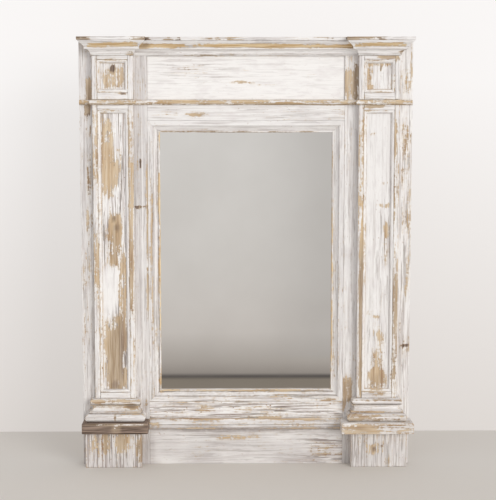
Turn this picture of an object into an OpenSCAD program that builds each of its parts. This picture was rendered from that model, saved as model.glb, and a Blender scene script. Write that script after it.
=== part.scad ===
// Pilastered overmantel mirror in painted pine, in millimetres.
// Z is up, the front faces -Y, and the origin is under the middle of the whole object.
// Depths are drawn from the back plane of the carcass at y = 0 and shifted at the end.

/* [Mirror glass] */
// Width of the mirror that shows
sight_w = 570; // [420:5:760]
// Height of the mirror that shows
sight_h = 862; // [600:2:1100]
// Thickness of the glass
glass_t = 4; // [3:0.5:6]
// Width of the rebate that the glass lies in
rebate_w = 12; // [9:0.5:16]
// Gap between the edge of the glass and its rebate
glass_gap = 1; // [0.5:0.25:2]
// Thickness of the backing board
backing_t = 6; // [4:0.5:10]
// How far the backing board laps onto the frame past the sight edge
backing_lap = 30; // [24:1:34]

/* [Sight frame] */
// Width of the moulding round the mirror
sight_frame_w = 40; // [36:1:56]
// Width of its flat outer fillet
sight_fillet_w = 17.5; // [10:0.5:18]
// Step down inside that fillet
sight_step = 6; // [3:0.5:8]
// Diameter of the bead at the mirror
sight_bead_d = 7; // [5:0.5:8]
// Height of the middle of the bead above the back of the frame
sight_bead_rise = 9.5; // [8:0.5:12]

/* [Carcass] */
// Thickness of the stiles and rails
board_t = 24; // [22:1:32]
// Width of each stile
stile_w = 223; // [190:1:260]
// Thickness of each side board
side_t = 20; // [14:1:26]
// Depth of the side boards behind the stiles
side_d = 26; // [20:1:45]
// Height of the plinth board between the pilasters
plinth_board_h = 121; // [90:1:160]
// Height of the flat rail under the mirror
lower_rail_h = 57; // [40:1:90]
// Height of the header rail that shows over the mirror
header_h = 50; // [36:1:80]
// Height of the frieze
frieze_h = 143; // [110:1:180]
// How far the frieze lies behind the face of the stiles
frieze_recess = 6; // [2:0.5:9]
// Length of the tenons
tenon_l = 26; // [16:1:34]
// Thickness of the tenons
tenon_t = 8; // [6:0.5:10]
// Shoulder above and below each tenon
tenon_shoulder = 7; // [4:0.5:10]
// Clearance round each tenon
tenon_gap = 0.3; // [0.1:0.05:0.6]
// Height of the battens across the back
batten_h = 84; // [60:1:110]
// Height of the middle of the lower batten
lower_batten_z = 120; // [80:1:160]

/* [Rail moulding] */
// Height of the moulding over the plinth board
rail_moulding_h = 36; // [26:1:50]
// How far it stands out from the stiles
rail_moulding_proj = 14; // [9:0.5:20]
// Height of its flat face
rail_moulding_flat_h = 17; // [8:1:20]

/* [Cornice] */
// Thickness of the top board
top_board_t = 11; // [8:0.5:18]
// How far the top board stands out from the stiles and the pilasters
crown_proj = 44; // [38:1:60]
// How far the crown stands back under the edge of the top board
crown_setback = 3; // [1:0.5:5]
// Height of the crown's upper curve
cyma_h = 21; // [14:1:28]
// Height of the fillet under that curve
crown_fillet_h = 6.5; // [4:0.5:10]
// How far that fillet stands out
crown_fillet_proj = 22; // [21:0.5:28]
// Radius of the hollow under the fillet
cavetto_r = 16.5; // [12:0.5:19]
// Height of the small fillet at the foot of the crown
crown_foot_h = 4; // [2:0.5:6]
// How far that foot stands out
crown_foot_proj = 3; // [1:0.5:4]

/* [Astragal] */
// Height of the half-round under the frieze
astragal_h = 18; // [12:1:22]

/* [Pilasters] */
// How much of the stile shows on each side of its pilaster
pilaster_margin = 44.5; // [38:0.5:56]
// How far the pilasters stand out from the stiles
pilaster_d = 26; // [22:1:36]
// Thickness of the strips round the sunk panel
strip_t = 12; // [8:0.5:16]
// Width of the upright strips
strip_w = 16.5; // [12:0.5:22]
// Height of the top strip of the shaft that shows
shaft_top_strip_h = 16; // [10:1:30]
// Height of the bottom strip of the shaft
shaft_bottom_strip_h = 20; // [12:1:36]
// Height of the strip over the sunk square of the frieze block
block_top_strip_h = 14; // [10:1:22]
// Height of the strip under it
block_bottom_strip_h = 23; // [10:1:30]
// Width of the bead in the sunk panels
bead_w = 11.5; // [8:0.5:14]
// Thickness of that bead
bead_t = 9; // [6:0.5:11]

/* [Pilaster base] */
// Height of the plinth block
plinth_block_h = 119; // [90:1:150]
// How far the plinth block stands out from the front and inner side of the pilaster
plinth_block_proj = 20; // [12:1:30]
// How far it stands out from the outer side
plinth_block_outer_proj = 33; // [24:1:36]
// Height of the plinth cap
plinth_cap_h = 37; // [24:1:48]
// How far the left plinth cap, which is a later repair, stands out from its pilaster
left_plinth_cap_proj = 43; // [38:1:50]
// How far the right plinth cap stands out from its pilaster
right_plinth_cap_proj = 53; // [44:1:58]
// Height of the lower round of the base
lower_torus_h = 28; // [20:1:34]
// How far the lower round stands out
lower_torus_proj = 33; // [30:1:38]
// Height of the fillet over the lower round
base_fillet_h = 7; // [4:0.5:10]
// How far that fillet stands out
base_fillet_proj = 20; // [18:0.5:24]
// Height of the hollow of the base
scotia_h = 20; // [14:1:28]
// How far the narrowest part of the hollow stands out
scotia_proj = 8; // [4:0.5:10]
// Height of the upper round of the base
upper_torus_h = 20; // [14:1:26]
// How far the upper round stands out
upper_torus_proj = 17; // [12:0.5:20]

/* [Hangers] */
// Distance from the side of the carcass to each hanger
hanger_inset = 158; // [110:1:220]
// How far the upper batten stands forward of the back plane, to keep the hangers inside
hanger_recess = 10; // [9.5:0.5:12]
// Width of the hanger strap
strap_w = 20; // [14:1:26]
// Length of the strap below its eye
strap_l = 46; // [38:1:70]
// Thickness of the strap
strap_t = 2; // [1.5:0.25:3]
// Wall of the eye rolled at the top of the strap
eye_wall = 2; // [1.5:0.25:3]
// Diameter of the ring's straight bar
ring_bar_d = 4.2; // [3.5:0.1:6]
// Diameter of the ring's bow
ring_bow_d = 3.8; // [3:0.1:5]
// Radius of the bow at the middle of its wire
ring_r = 20; // [17:0.5:26]
// Clearance of the bar in its eye
eye_gap = 0.3; // [0.2:0.05:0.6]
// Clearance between the ring and the strap
ring_gap = 0.6; // [0.4:0.1:1.5]

/* [Screws] */
// Diameter of the screw shanks
screw_d = 4; // [3:0.5:5]
// Diameter of the countersunk heads
screw_head_d = 8; // [6:0.5:10]
// Clearance round each screw
screw_gap = 0.05; // [0.02:0.01:0.2]
// How far the screws bite into the wood behind the piece that they hold
screw_bite = 12; // [8:0.5:14]
// Number of screws along each long side of the backing board
backing_screws_high = 4; // [2:1:7]
// Number of screws along each short side of the backing board
backing_screws_wide = 3; // [2:1:5]
// Distance from the end of a batten to its first screw
batten_screw_inset = 24; // [16:1:40]
// Distance between the two screws at each end of a batten
batten_screw_space = 44; // [30:1:56]

/* [Hidden] */
$fn = 48;

// Cutting tools reach this far past the wood
over = 1;
// Width of the small quirks between the parts of a moulding
quirk = 1;
// Segments in each curve of a moulding's section
curve_n = 10;

// Widths, measured from the middle of the mirror
sight_half = sight_w / 2;
opening_half = sight_half + sight_frame_w;
stile_outer = opening_half + stile_w;
pilaster_x = opening_half + stile_w / 2;
pilaster_half = stile_w / 2 - pilaster_margin;
field_half = pilaster_half - strip_w;

// Heights, measured from the floor
rail_moulding_z = plinth_board_h;
lower_rail_z = rail_moulding_z + rail_moulding_h;
frame_z = lower_rail_z + lower_rail_h;
sight_z = frame_z + sight_frame_w;
sight_top = sight_z + sight_h;
header_z = sight_top + sight_frame_w;
astragal_z = header_z + header_h;
frieze_z = astragal_z + astragal_h;
crown_z = frieze_z + frieze_h;
crown_h = crown_foot_h + cavetto_r + crown_fillet_h + cyma_h;
top_board_z = crown_z + crown_h;
plinth_cap_z = plinth_block_h;
base_z = plinth_cap_z + plinth_cap_h;
base_h = lower_torus_h + base_fillet_h + scotia_h + upper_torus_h;
shaft_z = base_z + base_h;
upper_batten_z = frieze_z + frieze_h / 2;

// Depths in front of the back plane
board_back = side_d;
face_d = side_d + board_t;
pilaster_face_d = face_d + pilaster_d;
ground_d = pilaster_face_d - strip_t;
frieze_face_d = face_d - frieze_recess;

// The eye of each hanger, from the face of the batten that carries it
hanger_x = stile_outer - hanger_inset;
eye_axis_y = strap_t + ring_gap + ring_bow_d / 2;
eye_r = ring_bar_d / 2 + eye_gap + eye_wall;
eye_z = upper_batten_z + strap_l / 2;

// How far the whole object reaches, which sets its middle
cap_proj_max = max(left_plinth_cap_proj, right_plinth_cap_proj);
back_reach = max(0, eye_axis_y + eye_r - hanger_recess);
front_reach = pilaster_face_d + max(cap_proj_max, crown_proj);
crown_reach = max(pilaster_x + pilaster_half + crown_proj, stile_outer);
left_reach = max(crown_reach, pilaster_x + pilaster_half + left_plinth_cap_proj);
right_reach = max(crown_reach, pilaster_x + pilaster_half + right_plinth_cap_proj);
x_shift = (left_reach - right_reach) / 2;
y_shift = (front_reach - back_reach) / 2;

// Colours
paint = [0.91, 0.89, 0.86];
worn_paint = [0.85, 0.80, 0.72];
bare_pine = [0.72, 0.58, 0.42];
brown_pine = [0.48, 0.38, 0.31];
gold_pine = [0.80, 0.66, 0.42];
plywood = [0.66, 0.55, 0.42];

// Moves a piece drawn from the back plane into the object's frame
module placed() {
    translate([x_shift, y_shift, 0]) children();
}

// Draws a left-hand piece from the right-hand one
module on_side(side) {
    if (side > 0) children();
    else mirror([1, 0, 0]) children();
}

// A plain board between two heights and two depths in front of the back plane
module board(x0, x1, d0, d1, z0, z1) {
    translate([x0, -d1, z0]) cube([x1 - x0, d1 - d0, z1 - z0]);
}

function arc_points(cx, cy, r, a0, a1) = [
    for (i = [0:curve_n])
        let (a = a0 + (a1 - a0) * i / curve_n) [cx + r * cos(a), cy + r * sin(a)]
];

// An S-curve between two points that leaves and arrives along the first axis
function ogee_points(x0, y0, x1, y1) = [
    for (i = [0:curve_n])
        let (t = i / curve_n) [x0 + (x1 - x0) * t, y0 + (y1 - y0) * (1 - cos(180 * t)) / 2]
];

// An S-curve that leaves and arrives along the second axis
function cyma_points(x0, y0, x1, y1) = [
    for (i = [0:curve_n])
        let (t = i / curve_n) [x0 + (x1 - x0) * (1 - cos(180 * t)) / 2, y0 + (y1 - y0) * t]
];

// Sections as [distance out, height]
cyma_z = crown_foot_h + cavetto_r + crown_fillet_h;
crown_section = concat(
    [[0, 0], [crown_foot_proj, 0], [crown_foot_proj, crown_foot_h]],
    arc_points(crown_foot_proj + quirk + cavetto_r, crown_foot_h, cavetto_r, 180, 90),
    [[crown_fillet_proj, crown_foot_h + cavetto_r], [crown_fillet_proj, cyma_z]],
    cyma_points(crown_fillet_proj + quirk, cyma_z, crown_proj - crown_setback, crown_h),
    [[0, crown_h]]
);
astragal_section = arc_points(0, astragal_h / 2, astragal_h / 2, -90, 90);
rail_moulding_chamfer = 4;
rail_moulding_step = 2;
rail_moulding_lip = 3;
rail_moulding_section = concat(
    [
        [0, 0], [rail_moulding_proj - rail_moulding_chamfer, 0],
        [rail_moulding_proj, rail_moulding_chamfer], [rail_moulding_proj, rail_moulding_flat_h],
        [rail_moulding_proj - rail_moulding_step, rail_moulding_flat_h]
    ],
    cyma_points(rail_moulding_proj - rail_moulding_step, rail_moulding_flat_h + quirk,
        rail_moulding_lip, rail_moulding_h - rail_moulding_lip),
    [[rail_moulding_lip, rail_moulding_h], [0, rail_moulding_h]]
);
scotia_z = lower_torus_h + base_fillet_h;
scotia_r = scotia_h / 2;
upper_torus_z = scotia_z + scotia_h;
base_section = concat(
    [[0, 0], [lower_torus_proj - lower_torus_h / 2, 0]],
    arc_points(lower_torus_proj - lower_torus_h / 2, lower_torus_h / 2, lower_torus_h / 2, -90, 90),
    [[base_fillet_proj, lower_torus_h], [base_fillet_proj, scotia_z]],
    arc_points(scotia_proj + scotia_r, scotia_z + scotia_r, scotia_r, 270, 90),
    [[upper_torus_proj - upper_torus_h / 2, upper_torus_z]],
    arc_points(upper_torus_proj - upper_torus_h / 2, upper_torus_z + upper_torus_h / 2,
        upper_torus_h / 2, -90, 90),
    [[0, base_h]]
);
cap_round = 3;
function plinth_cap_section(proj) = concat(
    [[0, 0], [proj - cap_round, 0]],
    arc_points(proj - cap_round, cap_round, cap_round, -90, 0),
    arc_points(proj - 2 * cap_round, plinth_cap_h - 2 * cap_round, 2 * cap_round, 0, 90),
    [[0, plinth_cap_h]]
);

// Section of the sight frame as [distance from the sight edge, height above its back]
sight_foot = sight_bead_d + quirk;
sight_ogee_top = board_t - sight_step;
sight_section = concat(
    [
        [rebate_w, 0], [sight_frame_w, 0], [sight_frame_w, board_t],
        [sight_frame_w - sight_fillet_w, board_t]
    ],
    ogee_points(sight_frame_w - sight_fillet_w, sight_ogee_top, sight_foot, sight_bead_rise + quirk),
    [[sight_foot, sight_bead_rise]],
    arc_points(sight_bead_d / 2, sight_bead_rise, sight_bead_d / 2, 0, 180),
    [[0, glass_t], [rebate_w, glass_t]]
);

// Section of the panel bead as [distance in from the strip, height above the panel]
bead_lip = 1.5;
bead_r = bead_t - bead_lip;
bead_section = concat(
    [[0, 0], [bead_w, 0], [bead_w, bead_lip]],
    arc_points(bead_w - quirk - bead_r, bead_lip, bead_r, 0, 90),
    [[0, bead_t]]
);

// A straight run of moulding along X that stands out to -Y from depth d
module run_across(section, x0, x1, d, z) {
    translate([x0, -d, z])
        mirror([0, 1, 0])
        rotate([90, 0, 90])
        linear_extrude(x1 - x0)
        polygon(section);
}

// A straight run along Y that stands out to +X from x
module run_back(section, x, d0, d1, z) {
    translate([x, -d0, z])
        rotate([90, 0, 0])
        linear_extrude(d1 - d0)
        polygon(section);
}

// Keeps what lies over an outline drawn as [x, distance in front of the back plane]
module within_plan(outline, z0, z1) {
    intersection() {
        children();
        translate([0, 0, z0])
            mirror([0, 1, 0])
            linear_extrude(z1 - z0)
            polygon(outline);
    }
}

// The run between the two pilasters, mitred into their inner returns
module centre_run(section, reach, z, h) {
    half = pilaster_x - pilaster_half;
    within_plan(
        [[-half, face_d], [half, face_d], [half - reach, face_d + reach], [reach - half, face_d + reach]],
        z - over, z + h + over)
        run_across(section, -half, half, face_d, z);
}

// The run across the front of the right pilaster, mitred at both ends
module front_run(section, reach, z, h) {
    x0 = pilaster_x - pilaster_half;
    x1 = pilaster_x + pilaster_half;
    d = pilaster_face_d;
    within_plan(
        [[x0, d], [x1, d], [x1 + reach, d + reach], [x0 - reach, d + reach]],
        z - over, z + h + over)
        run_across(section, x0 - reach, x1 + reach, d, z);
}

// The run along the outer side of the right pilaster
module outer_run(section, reach, z, h, foot_mitre) {
    x = pilaster_x + pilaster_half;
    d = pilaster_face_d;
    within_plan(
        [[x, face_d], [x, d], [x + reach, d + reach], [x + reach, face_d + foot_mitre]],
        z - over, z + h + over)
        run_back(section, x, face_d, d + reach, z);
}

// The run along the inner side of the right pilaster, mitred into the centre run
module inner_run(section, reach, z, h) {
    translate([2 * pilaster_x, 0, 0])
        mirror([1, 0, 0])
        outer_run(section, reach, z, h, reach);
}

// A block worked to a moulding on its front and both sides
module three_sided(section, h, z) {
    outline = concat(
        [for (p = section) [pilaster_half + p[0], p[1]]],
        [for (i = [len(section) - 1:-1:0]) [-pilaster_half - section[i][0], section[i][1]]]
    );
    depth_outline = concat([for (p = section) [pilaster_d + p[0], p[1]]], [[0, h], [0, 0]]);
    reach = pilaster_half + cap_proj_max + over;
    intersection() {
        translate([pilaster_x, over - face_d, z])
            rotate([90, 0, 0])
            linear_extrude(pilaster_d + cap_proj_max + 2 * over)
            polygon(outline);
        run_across(depth_outline, pilaster_x - reach, pilaster_x + reach, face_d, z);
    }
}

// A screw with the flat face of its head at y = 0 and its shank towards -Y
module screw(length, gap) {
    r = screw_d / 2 + gap;
    head_r = screw_head_d / 2 + gap;
    head_h = head_r - r;
    rotate([90, 0, 0])
        rotate_extrude()
        polygon([[0, 0], [head_r, 0], [r, head_h], [r, length + gap], [0, length + gap]]);
}

// Backing screws sit on a line round the mirror, under the thick part of the frame
backing_screw_reach = sight_frame_w - sight_fillet_w + 1;
backing_high_step = (sight_h + 2 * backing_screw_reach) / (backing_screws_high - 1);
backing_wide_step = (sight_w + 2 * backing_screw_reach) / (backing_screws_wide - 1);

module at_backing_screws() {
    x = sight_half + backing_screw_reach;
    for (side = [-1, 1])
        for (i = [0:backing_screws_high - 1])
            translate([side * x, 0, sight_z - backing_screw_reach + i * backing_high_step])
            children();
    for (z = [sight_z - backing_screw_reach, sight_top + backing_screw_reach])
        for (i = [1:backing_screws_wide - 2])
            translate([-x + i * backing_wide_step, 0, z])
            children();
}

module at_batten_screws(z, back) {
    x = stile_outer - side_t - batten_screw_inset;
    for (side = [-1, 1])
        for (dx = [0, -batten_screw_space])
            translate([side * (x + dx), -back, z])
            children();
}

// The upper batten is the thinner one, so its screws are shorter
module batten_screws(gap) {
    at_batten_screws(lower_batten_z, 0) screw(side_d + screw_bite, gap);
    at_batten_screws(upper_batten_z, hanger_recess)
        screw(side_d - hanger_recess + screw_bite, gap);
}

strap_screw_inset = 8;
strap_screw_z = [strap_screw_inset - strap_l, -strap_l / 2];

module at_hanger_screws() {
    for (side = [-1, 1])
        for (dz = strap_screw_z)
            translate([side * hanger_x, strap_t - hanger_recess, eye_z + dz])
            children();
}

module backing_screw_holes() {
    at_backing_screws()
        translate([0, backing_t - board_back, 0])
        screw(backing_t + screw_bite, screw_gap);
}

module hanger_screw_holes() {
    at_hanger_screws() screw(strap_t + screw_bite, screw_gap);
}

// Each rail as [foot, head, depth of its front]
rails = [
    [0, plinth_board_h, face_d],
    [lower_rail_z, frame_z, face_d],
    [header_z, frieze_z, face_d],
    [frieze_z, crown_z, frieze_face_d],
    [crown_z, top_board_z, face_d]
];
tenon_back = board_back + (frieze_face_d - board_back - tenon_t) / 2;

module tenons(rail, length, gap) {
    for (side = [-1, 1])
        on_side(side)
        board(opening_half - gap, opening_half + length + gap,
            tenon_back - gap, tenon_back + tenon_t + gap,
            rail[0] + tenon_shoulder - gap, rail[1] - tenon_shoulder + gap);
}

// A rail between the stiles with a tenon at each end
module rail_piece(rail) {
    union() {
        board(-opening_half, opening_half, board_back, rail[2], rail[0], rail[1]);
        tenons([rail[0], rail[1]], tenon_l - over, 0);
    }
}

module stile(side) {
    color(paint) placed() difference() {
        on_side(side) board(opening_half, stile_outer, board_back, face_d, 0, top_board_z);
        for (rail = rails) tenons(rail, tenon_l, tenon_gap);
        batten_screws(screw_gap);
    }
}

module side_board(side) {
    color(paint) placed() on_side(side)
        board(stile_outer - side_t, stile_outer, 0, board_back, 0, top_board_z);
}

module plinth_board() {
    color(paint) placed() rail_piece(rails[0]);
}

module lower_rail() {
    color(paint) placed() rail_piece(rails[1]);
}

module header_rail() {
    color(paint) placed() rail_piece(rails[2]);
}

module frieze_board() {
    color(paint) placed() rail_piece(rails[3]);
}

module cornice_rail() {
    color(paint) placed() rail_piece(rails[4]);
}

// An upright member of the sight frame on the right, mitred at both ends
module sight_upright() {
    intersection() {
        translate([sight_half, -board_back, frame_z])
            mirror([0, 1, 0])
            linear_extrude(sight_h + 2 * sight_frame_w)
            polygon(sight_section);
        translate([0, over, 0])
            rotate([90, 0, 0])
            linear_extrude(face_d + 2 * over)
            polygon([
                [sight_half, sight_z], [opening_half, frame_z],
                [opening_half, header_z], [sight_half, sight_top]
            ]);
    }
}

// The top member of the sight frame, mitred at both ends
module sight_cross() {
    section = [for (p = sight_section) [p[1], p[0]]];
    intersection() {
        run_across(section, -opening_half, opening_half, board_back, sight_top);
        translate([0, over, 0])
            rotate([90, 0, 0])
            linear_extrude(face_d + 2 * over)
            polygon([
                [-sight_half, sight_top], [sight_half, sight_top],
                [opening_half, header_z], [-opening_half, header_z]
            ]);
    }
}

module sight_frame_upright(side) {
    color(paint) placed() difference() {
        on_side(side) sight_upright();
        backing_screw_holes();
    }
}

module sight_frame_top() {
    color(paint) placed() difference() {
        sight_cross();
        backing_screw_holes();
    }
}

module sight_frame_bottom() {
    color(paint) placed() difference() {
        translate([0, 0, sight_z + sight_top]) mirror([0, 0, 1]) sight_cross();
        backing_screw_holes();
    }
}

module mirror_glass() {
    reach = rebate_w - glass_gap;
    color("silver") placed()
        board(-sight_half - reach, sight_half + reach, board_back, board_back + glass_t,
            sight_z - reach, sight_top + reach);
}

module backing_board() {
    color(plywood) placed() difference() {
        board(-sight_half - backing_lap, sight_half + backing_lap,
            board_back - backing_t, board_back,
            sight_z - backing_lap, sight_top + backing_lap);
        backing_screw_holes();
    }
}

module batten(z, back) {
    half = stile_outer - side_t;
    board(-half, half, back, board_back, z - batten_h / 2, z + batten_h / 2);
}

module upper_batten() {
    color(bare_pine) placed() difference() {
        batten(upper_batten_z, hanger_recess);
        batten_screws(screw_gap);
        hanger_screw_holes();
    }
}

module lower_batten() {
    color(bare_pine) placed() difference() {
        batten(lower_batten_z, 0);
        batten_screws(screw_gap);
    }
}

// Fills the space between the stiles, and its moulded front runs from cap to cap
module rail_moulding() {
    inner = pilaster_x - pilaster_half;
    color(paint) placed() union() {
        board(-opening_half, opening_half, board_back, face_d,
            rail_moulding_z, rail_moulding_z + rail_moulding_h);
        run_across(rail_moulding_section, left_plinth_cap_proj - inner,
            inner - right_plinth_cap_proj, face_d, rail_moulding_z);
    }
}

module centre_astragal() {
    color(worn_paint) placed() centre_run(astragal_section, astragal_h, astragal_z, astragal_h);
}

module centre_crown() {
    color(gold_pine) placed() centre_run(crown_section, crown_proj, crown_z, crown_h);
}

// One board with its front stepped forward over each pilaster
module top_board() {
    inner = pilaster_x - pilaster_half - crown_proj;
    front = pilaster_face_d + crown_proj;
    centre_front = face_d + crown_proj;
    color(paint) placed()
        translate([0, 0, top_board_z])
        mirror([0, 1, 0])
        linear_extrude(top_board_t)
        polygon([
            [-crown_reach, 0], [crown_reach, 0], [crown_reach, front], [inner, front],
            [inner, centre_front], [-inner, centre_front], [-inner, front], [-crown_reach, front]
        ]);
}

module plinth_block(side) {
    x0 = pilaster_x - pilaster_half - plinth_block_proj;
    x1 = pilaster_x + pilaster_half + plinth_block_outer_proj;
    color(worn_paint) placed() on_side(side)
        board(x0, x1, face_d, pilaster_face_d + plinth_block_proj, 0, plinth_block_h);
}

module plinth_cap(side) {
    color(side < 0 ? brown_pine : worn_paint) placed() on_side(side)
        three_sided(
            plinth_cap_section(side < 0 ? left_plinth_cap_proj : right_plinth_cap_proj),
            plinth_cap_h, plinth_cap_z);
}

module base_moulding(side) {
    color(paint) placed() on_side(side) three_sided(base_section, base_h, base_z);
}

// The ground of the sunk panel, which the strips and beads are planted on
module shaft_board(side) {
    color(side < 0 ? bare_pine : paint) placed() on_side(side)
        board(pilaster_x - pilaster_half, pilaster_x + pilaster_half,
            face_d, ground_d, shaft_z, frieze_z);
}

module upright_strip(x) {
    board(x, x + strip_w, ground_d, pilaster_face_d, shaft_z, frieze_z);
}

module shaft_outer_strip(side) {
    color(paint) placed() on_side(side) upright_strip(pilaster_x + field_half);
}

module shaft_inner_strip(side) {
    color(paint) placed() on_side(side) upright_strip(pilaster_x - pilaster_half);
}

shaft_field_z0 = shaft_z + shaft_bottom_strip_h;
shaft_field_z1 = astragal_z - shaft_top_strip_h;

module shaft_cross_strips(side) {
    color(paint) placed() on_side(side) union() {
        board(pilaster_x - field_half, pilaster_x + field_half,
            ground_d, pilaster_face_d, shaft_z, shaft_field_z0);
        board(pilaster_x - field_half, pilaster_x + field_half,
            ground_d, pilaster_face_d, shaft_field_z1, frieze_z);
    }
}

// Keeps what lies over an outline drawn as [x, z]
module within_front(outline) {
    intersection() {
        children();
        translate([0, over, 0])
            rotate([90, 0, 0])
            linear_extrude(front_reach + 2 * over)
            polygon(outline);
    }
}

// Four beads round a field, glued at their mitres
module bead_set(z0, z1) {
    x0 = pilaster_x - field_half;
    x1 = pilaster_x + field_half;
    w = bead_w;
    flipped = [for (p = bead_section) [p[1], p[0]]];
    within_front([[x0, z0], [x0 + w, z0 + w], [x0 + w, z1 - w], [x0, z1]])
        translate([x0, -ground_d, z0])
        mirror([0, 1, 0])
        linear_extrude(z1 - z0)
        polygon(bead_section);
    within_front([[x1, z0], [x1 - w, z0 + w], [x1 - w, z1 - w], [x1, z1]])
        translate([x1, -ground_d, z0])
        mirror([1, 0, 0])
        mirror([0, 1, 0])
        linear_extrude(z1 - z0)
        polygon(bead_section);
    within_front([[x0, z0], [x1, z0], [x1 - w, z0 + w], [x0 + w, z0 + w]])
        run_across(flipped, x0, x1, ground_d, z0);
    within_front([[x0, z1], [x1, z1], [x1 - w, z1 - w], [x0 + w, z1 - w]])
        translate([0, 0, 2 * z1])
        mirror([0, 0, 1])
        run_across(flipped, x0, x1, ground_d, z1);
}

module shaft_bead(side) {
    color(worn_paint) placed() on_side(side) bead_set(shaft_field_z0, shaft_field_z1);
}

module astragal_front(side) {
    color(worn_paint) placed() on_side(side)
        front_run(astragal_section, astragal_h, astragal_z, astragal_h);
}

// Both side returns, and the length that runs on to the edge of the stile
module astragal_returns(side) {
    x = pilaster_x + pilaster_half;
    color(worn_paint) placed() on_side(side) {
        inner_run(astragal_section, astragal_h, astragal_z, astragal_h);
        outer_run(astragal_section, astragal_h, astragal_z, astragal_h, astragal_h);
        within_plan(
            [
                [x, face_d], [stile_outer, face_d],
                [stile_outer, face_d + astragal_h], [x + astragal_h, face_d + astragal_h]
            ],
            astragal_z - over, frieze_z + over)
            run_across(astragal_section, x, stile_outer, face_d, astragal_z);
    }
}

block_field_z0 = frieze_z + block_bottom_strip_h;
block_field_z1 = crown_z - block_top_strip_h;

module frieze_block(side) {
    color(worn_paint) placed() on_side(side) difference() {
        board(pilaster_x - pilaster_half, pilaster_x + pilaster_half,
            face_d, pilaster_face_d, frieze_z, crown_z);
        board(pilaster_x - field_half, pilaster_x + field_half,
            ground_d, pilaster_face_d + over, block_field_z0, block_field_z1);
    }
}

module block_bead(side) {
    color(worn_paint) placed() on_side(side) bead_set(block_field_z0, block_field_z1);
}

module cap_core(side) {
    color(paint) placed() on_side(side)
        board(pilaster_x - pilaster_half, pilaster_x + pilaster_half,
            face_d, pilaster_face_d, crown_z, top_board_z);
}

module crown_front(side) {
    color(gold_pine) placed() on_side(side) front_run(crown_section, crown_proj, crown_z, crown_h);
}

module crown_outer_return(side) {
    color(paint) placed() on_side(side) outer_run(crown_section, crown_proj, crown_z, crown_h, 0);
}

module crown_inner_return(side) {
    color(paint) placed() on_side(side) inner_run(crown_section, crown_proj, crown_z, crown_h);
}

// A flat strap whose top is rolled into an eye for the ring
module hanger_strap(side) {
    color("silver") placed() difference() {
        translate([side * hanger_x, -hanger_recess, eye_z]) difference() {
            union() {
                translate([-strap_w / 2, 0, -strap_l]) cube([strap_w, strap_t, strap_l]);
                translate([-strap_w / 2, eye_axis_y, 0])
                    rotate([0, 90, 0])
                    cylinder(r = eye_r, h = strap_w);
            }
            translate([-strap_w / 2 - over, eye_axis_y, 0])
                rotate([0, 90, 0])
                cylinder(r = ring_bar_d / 2 + eye_gap, h = strap_w + 2 * over);
        }
        hanger_screw_holes();
    }
}

// A straight bar through the eye and a bow that hangs below it
module hanger_ring(side) {
    bar_l = 2 * ring_r + ring_bar_d;
    color("silver") placed() translate([side * hanger_x, eye_axis_y - hanger_recess, eye_z]) union() {
        translate([-bar_l / 2, 0, 0]) rotate([0, 90, 0]) cylinder(d = ring_bar_d, h = bar_l);
        rotate([-90, 0, 0])
            rotate_extrude(angle = 180)
            translate([ring_r, 0])
            circle(d = ring_bow_d);
    }
}

module hanger_screws() {
    color("silver") placed() at_hanger_screws() screw(strap_t + screw_bite, 0);
}

// The backing board's and the battens' screws
module carcass_screws() {
    color("silver") placed() {
        at_backing_screws()
            translate([0, backing_t - board_back, 0])
            screw(backing_t + screw_bite, 0);
        batten_screws(0);
    }
}

stile(-1);  // left_stile
stile(1);  // right_stile
side_board(-1);  // left_side_board
side_board(1);  // right_side_board
plinth_board();
lower_rail();
header_rail();
frieze_board();
cornice_rail();
sight_frame_upright(-1);  // sight_frame_left
sight_frame_upright(1);  // sight_frame_right
sight_frame_top();
sight_frame_bottom();
mirror_glass();
backing_board();
upper_batten();
lower_batten();
rail_moulding();
centre_astragal();
centre_crown();
top_board();
plinth_block(-1);  // left_plinth_block
plinth_block(1);  // right_plinth_block
plinth_cap(-1);  // left_plinth_cap
plinth_cap(1);  // right_plinth_cap
base_moulding(-1);  // left_base_moulding
base_moulding(1);  // right_base_moulding
shaft_board(-1);  // left_shaft_board
shaft_board(1);  // right_shaft_board
shaft_outer_strip(-1);  // left_shaft_outer_strip
shaft_outer_strip(1);  // right_shaft_outer_strip
shaft_inner_strip(-1);  // left_shaft_inner_strip
shaft_inner_strip(1);  // right_shaft_inner_strip
shaft_cross_strips(-1);  // left_shaft_cross_strips
shaft_cross_strips(1);  // right_shaft_cross_strips
shaft_bead(-1);  // left_shaft_bead
shaft_bead(1);  // right_shaft_bead
astragal_front(-1);  // left_astragal_front
astragal_front(1);  // right_astragal_front
astragal_returns(-1);  // left_astragal_returns
astragal_returns(1);  // right_astragal_returns
frieze_block(-1);  // left_frieze_block
frieze_block(1);  // right_frieze_block
block_bead(-1);  // left_block_bead
block_bead(1);  // right_block_bead
cap_core(-1);  // left_cap_core
cap_core(1);  // right_cap_core
crown_front(-1);  // left_crown_front
crown_front(1);  // right_crown_front
crown_outer_return(-1);  // left_crown_outer_return
crown_outer_return(1);  // right_crown_outer_return
crown_inner_return(-1);  // left_crown_inner_return
crown_inner_return(1);  // right_crown_inner_return
hanger_strap(-1);  // left_hanger_strap
hanger_strap(1);  // right_hanger_strap
hanger_ring(-1);  // left_hanger_ring
hanger_ring(1);  // right_hanger_ring
hanger_screws();
carcass_screws();
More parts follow.
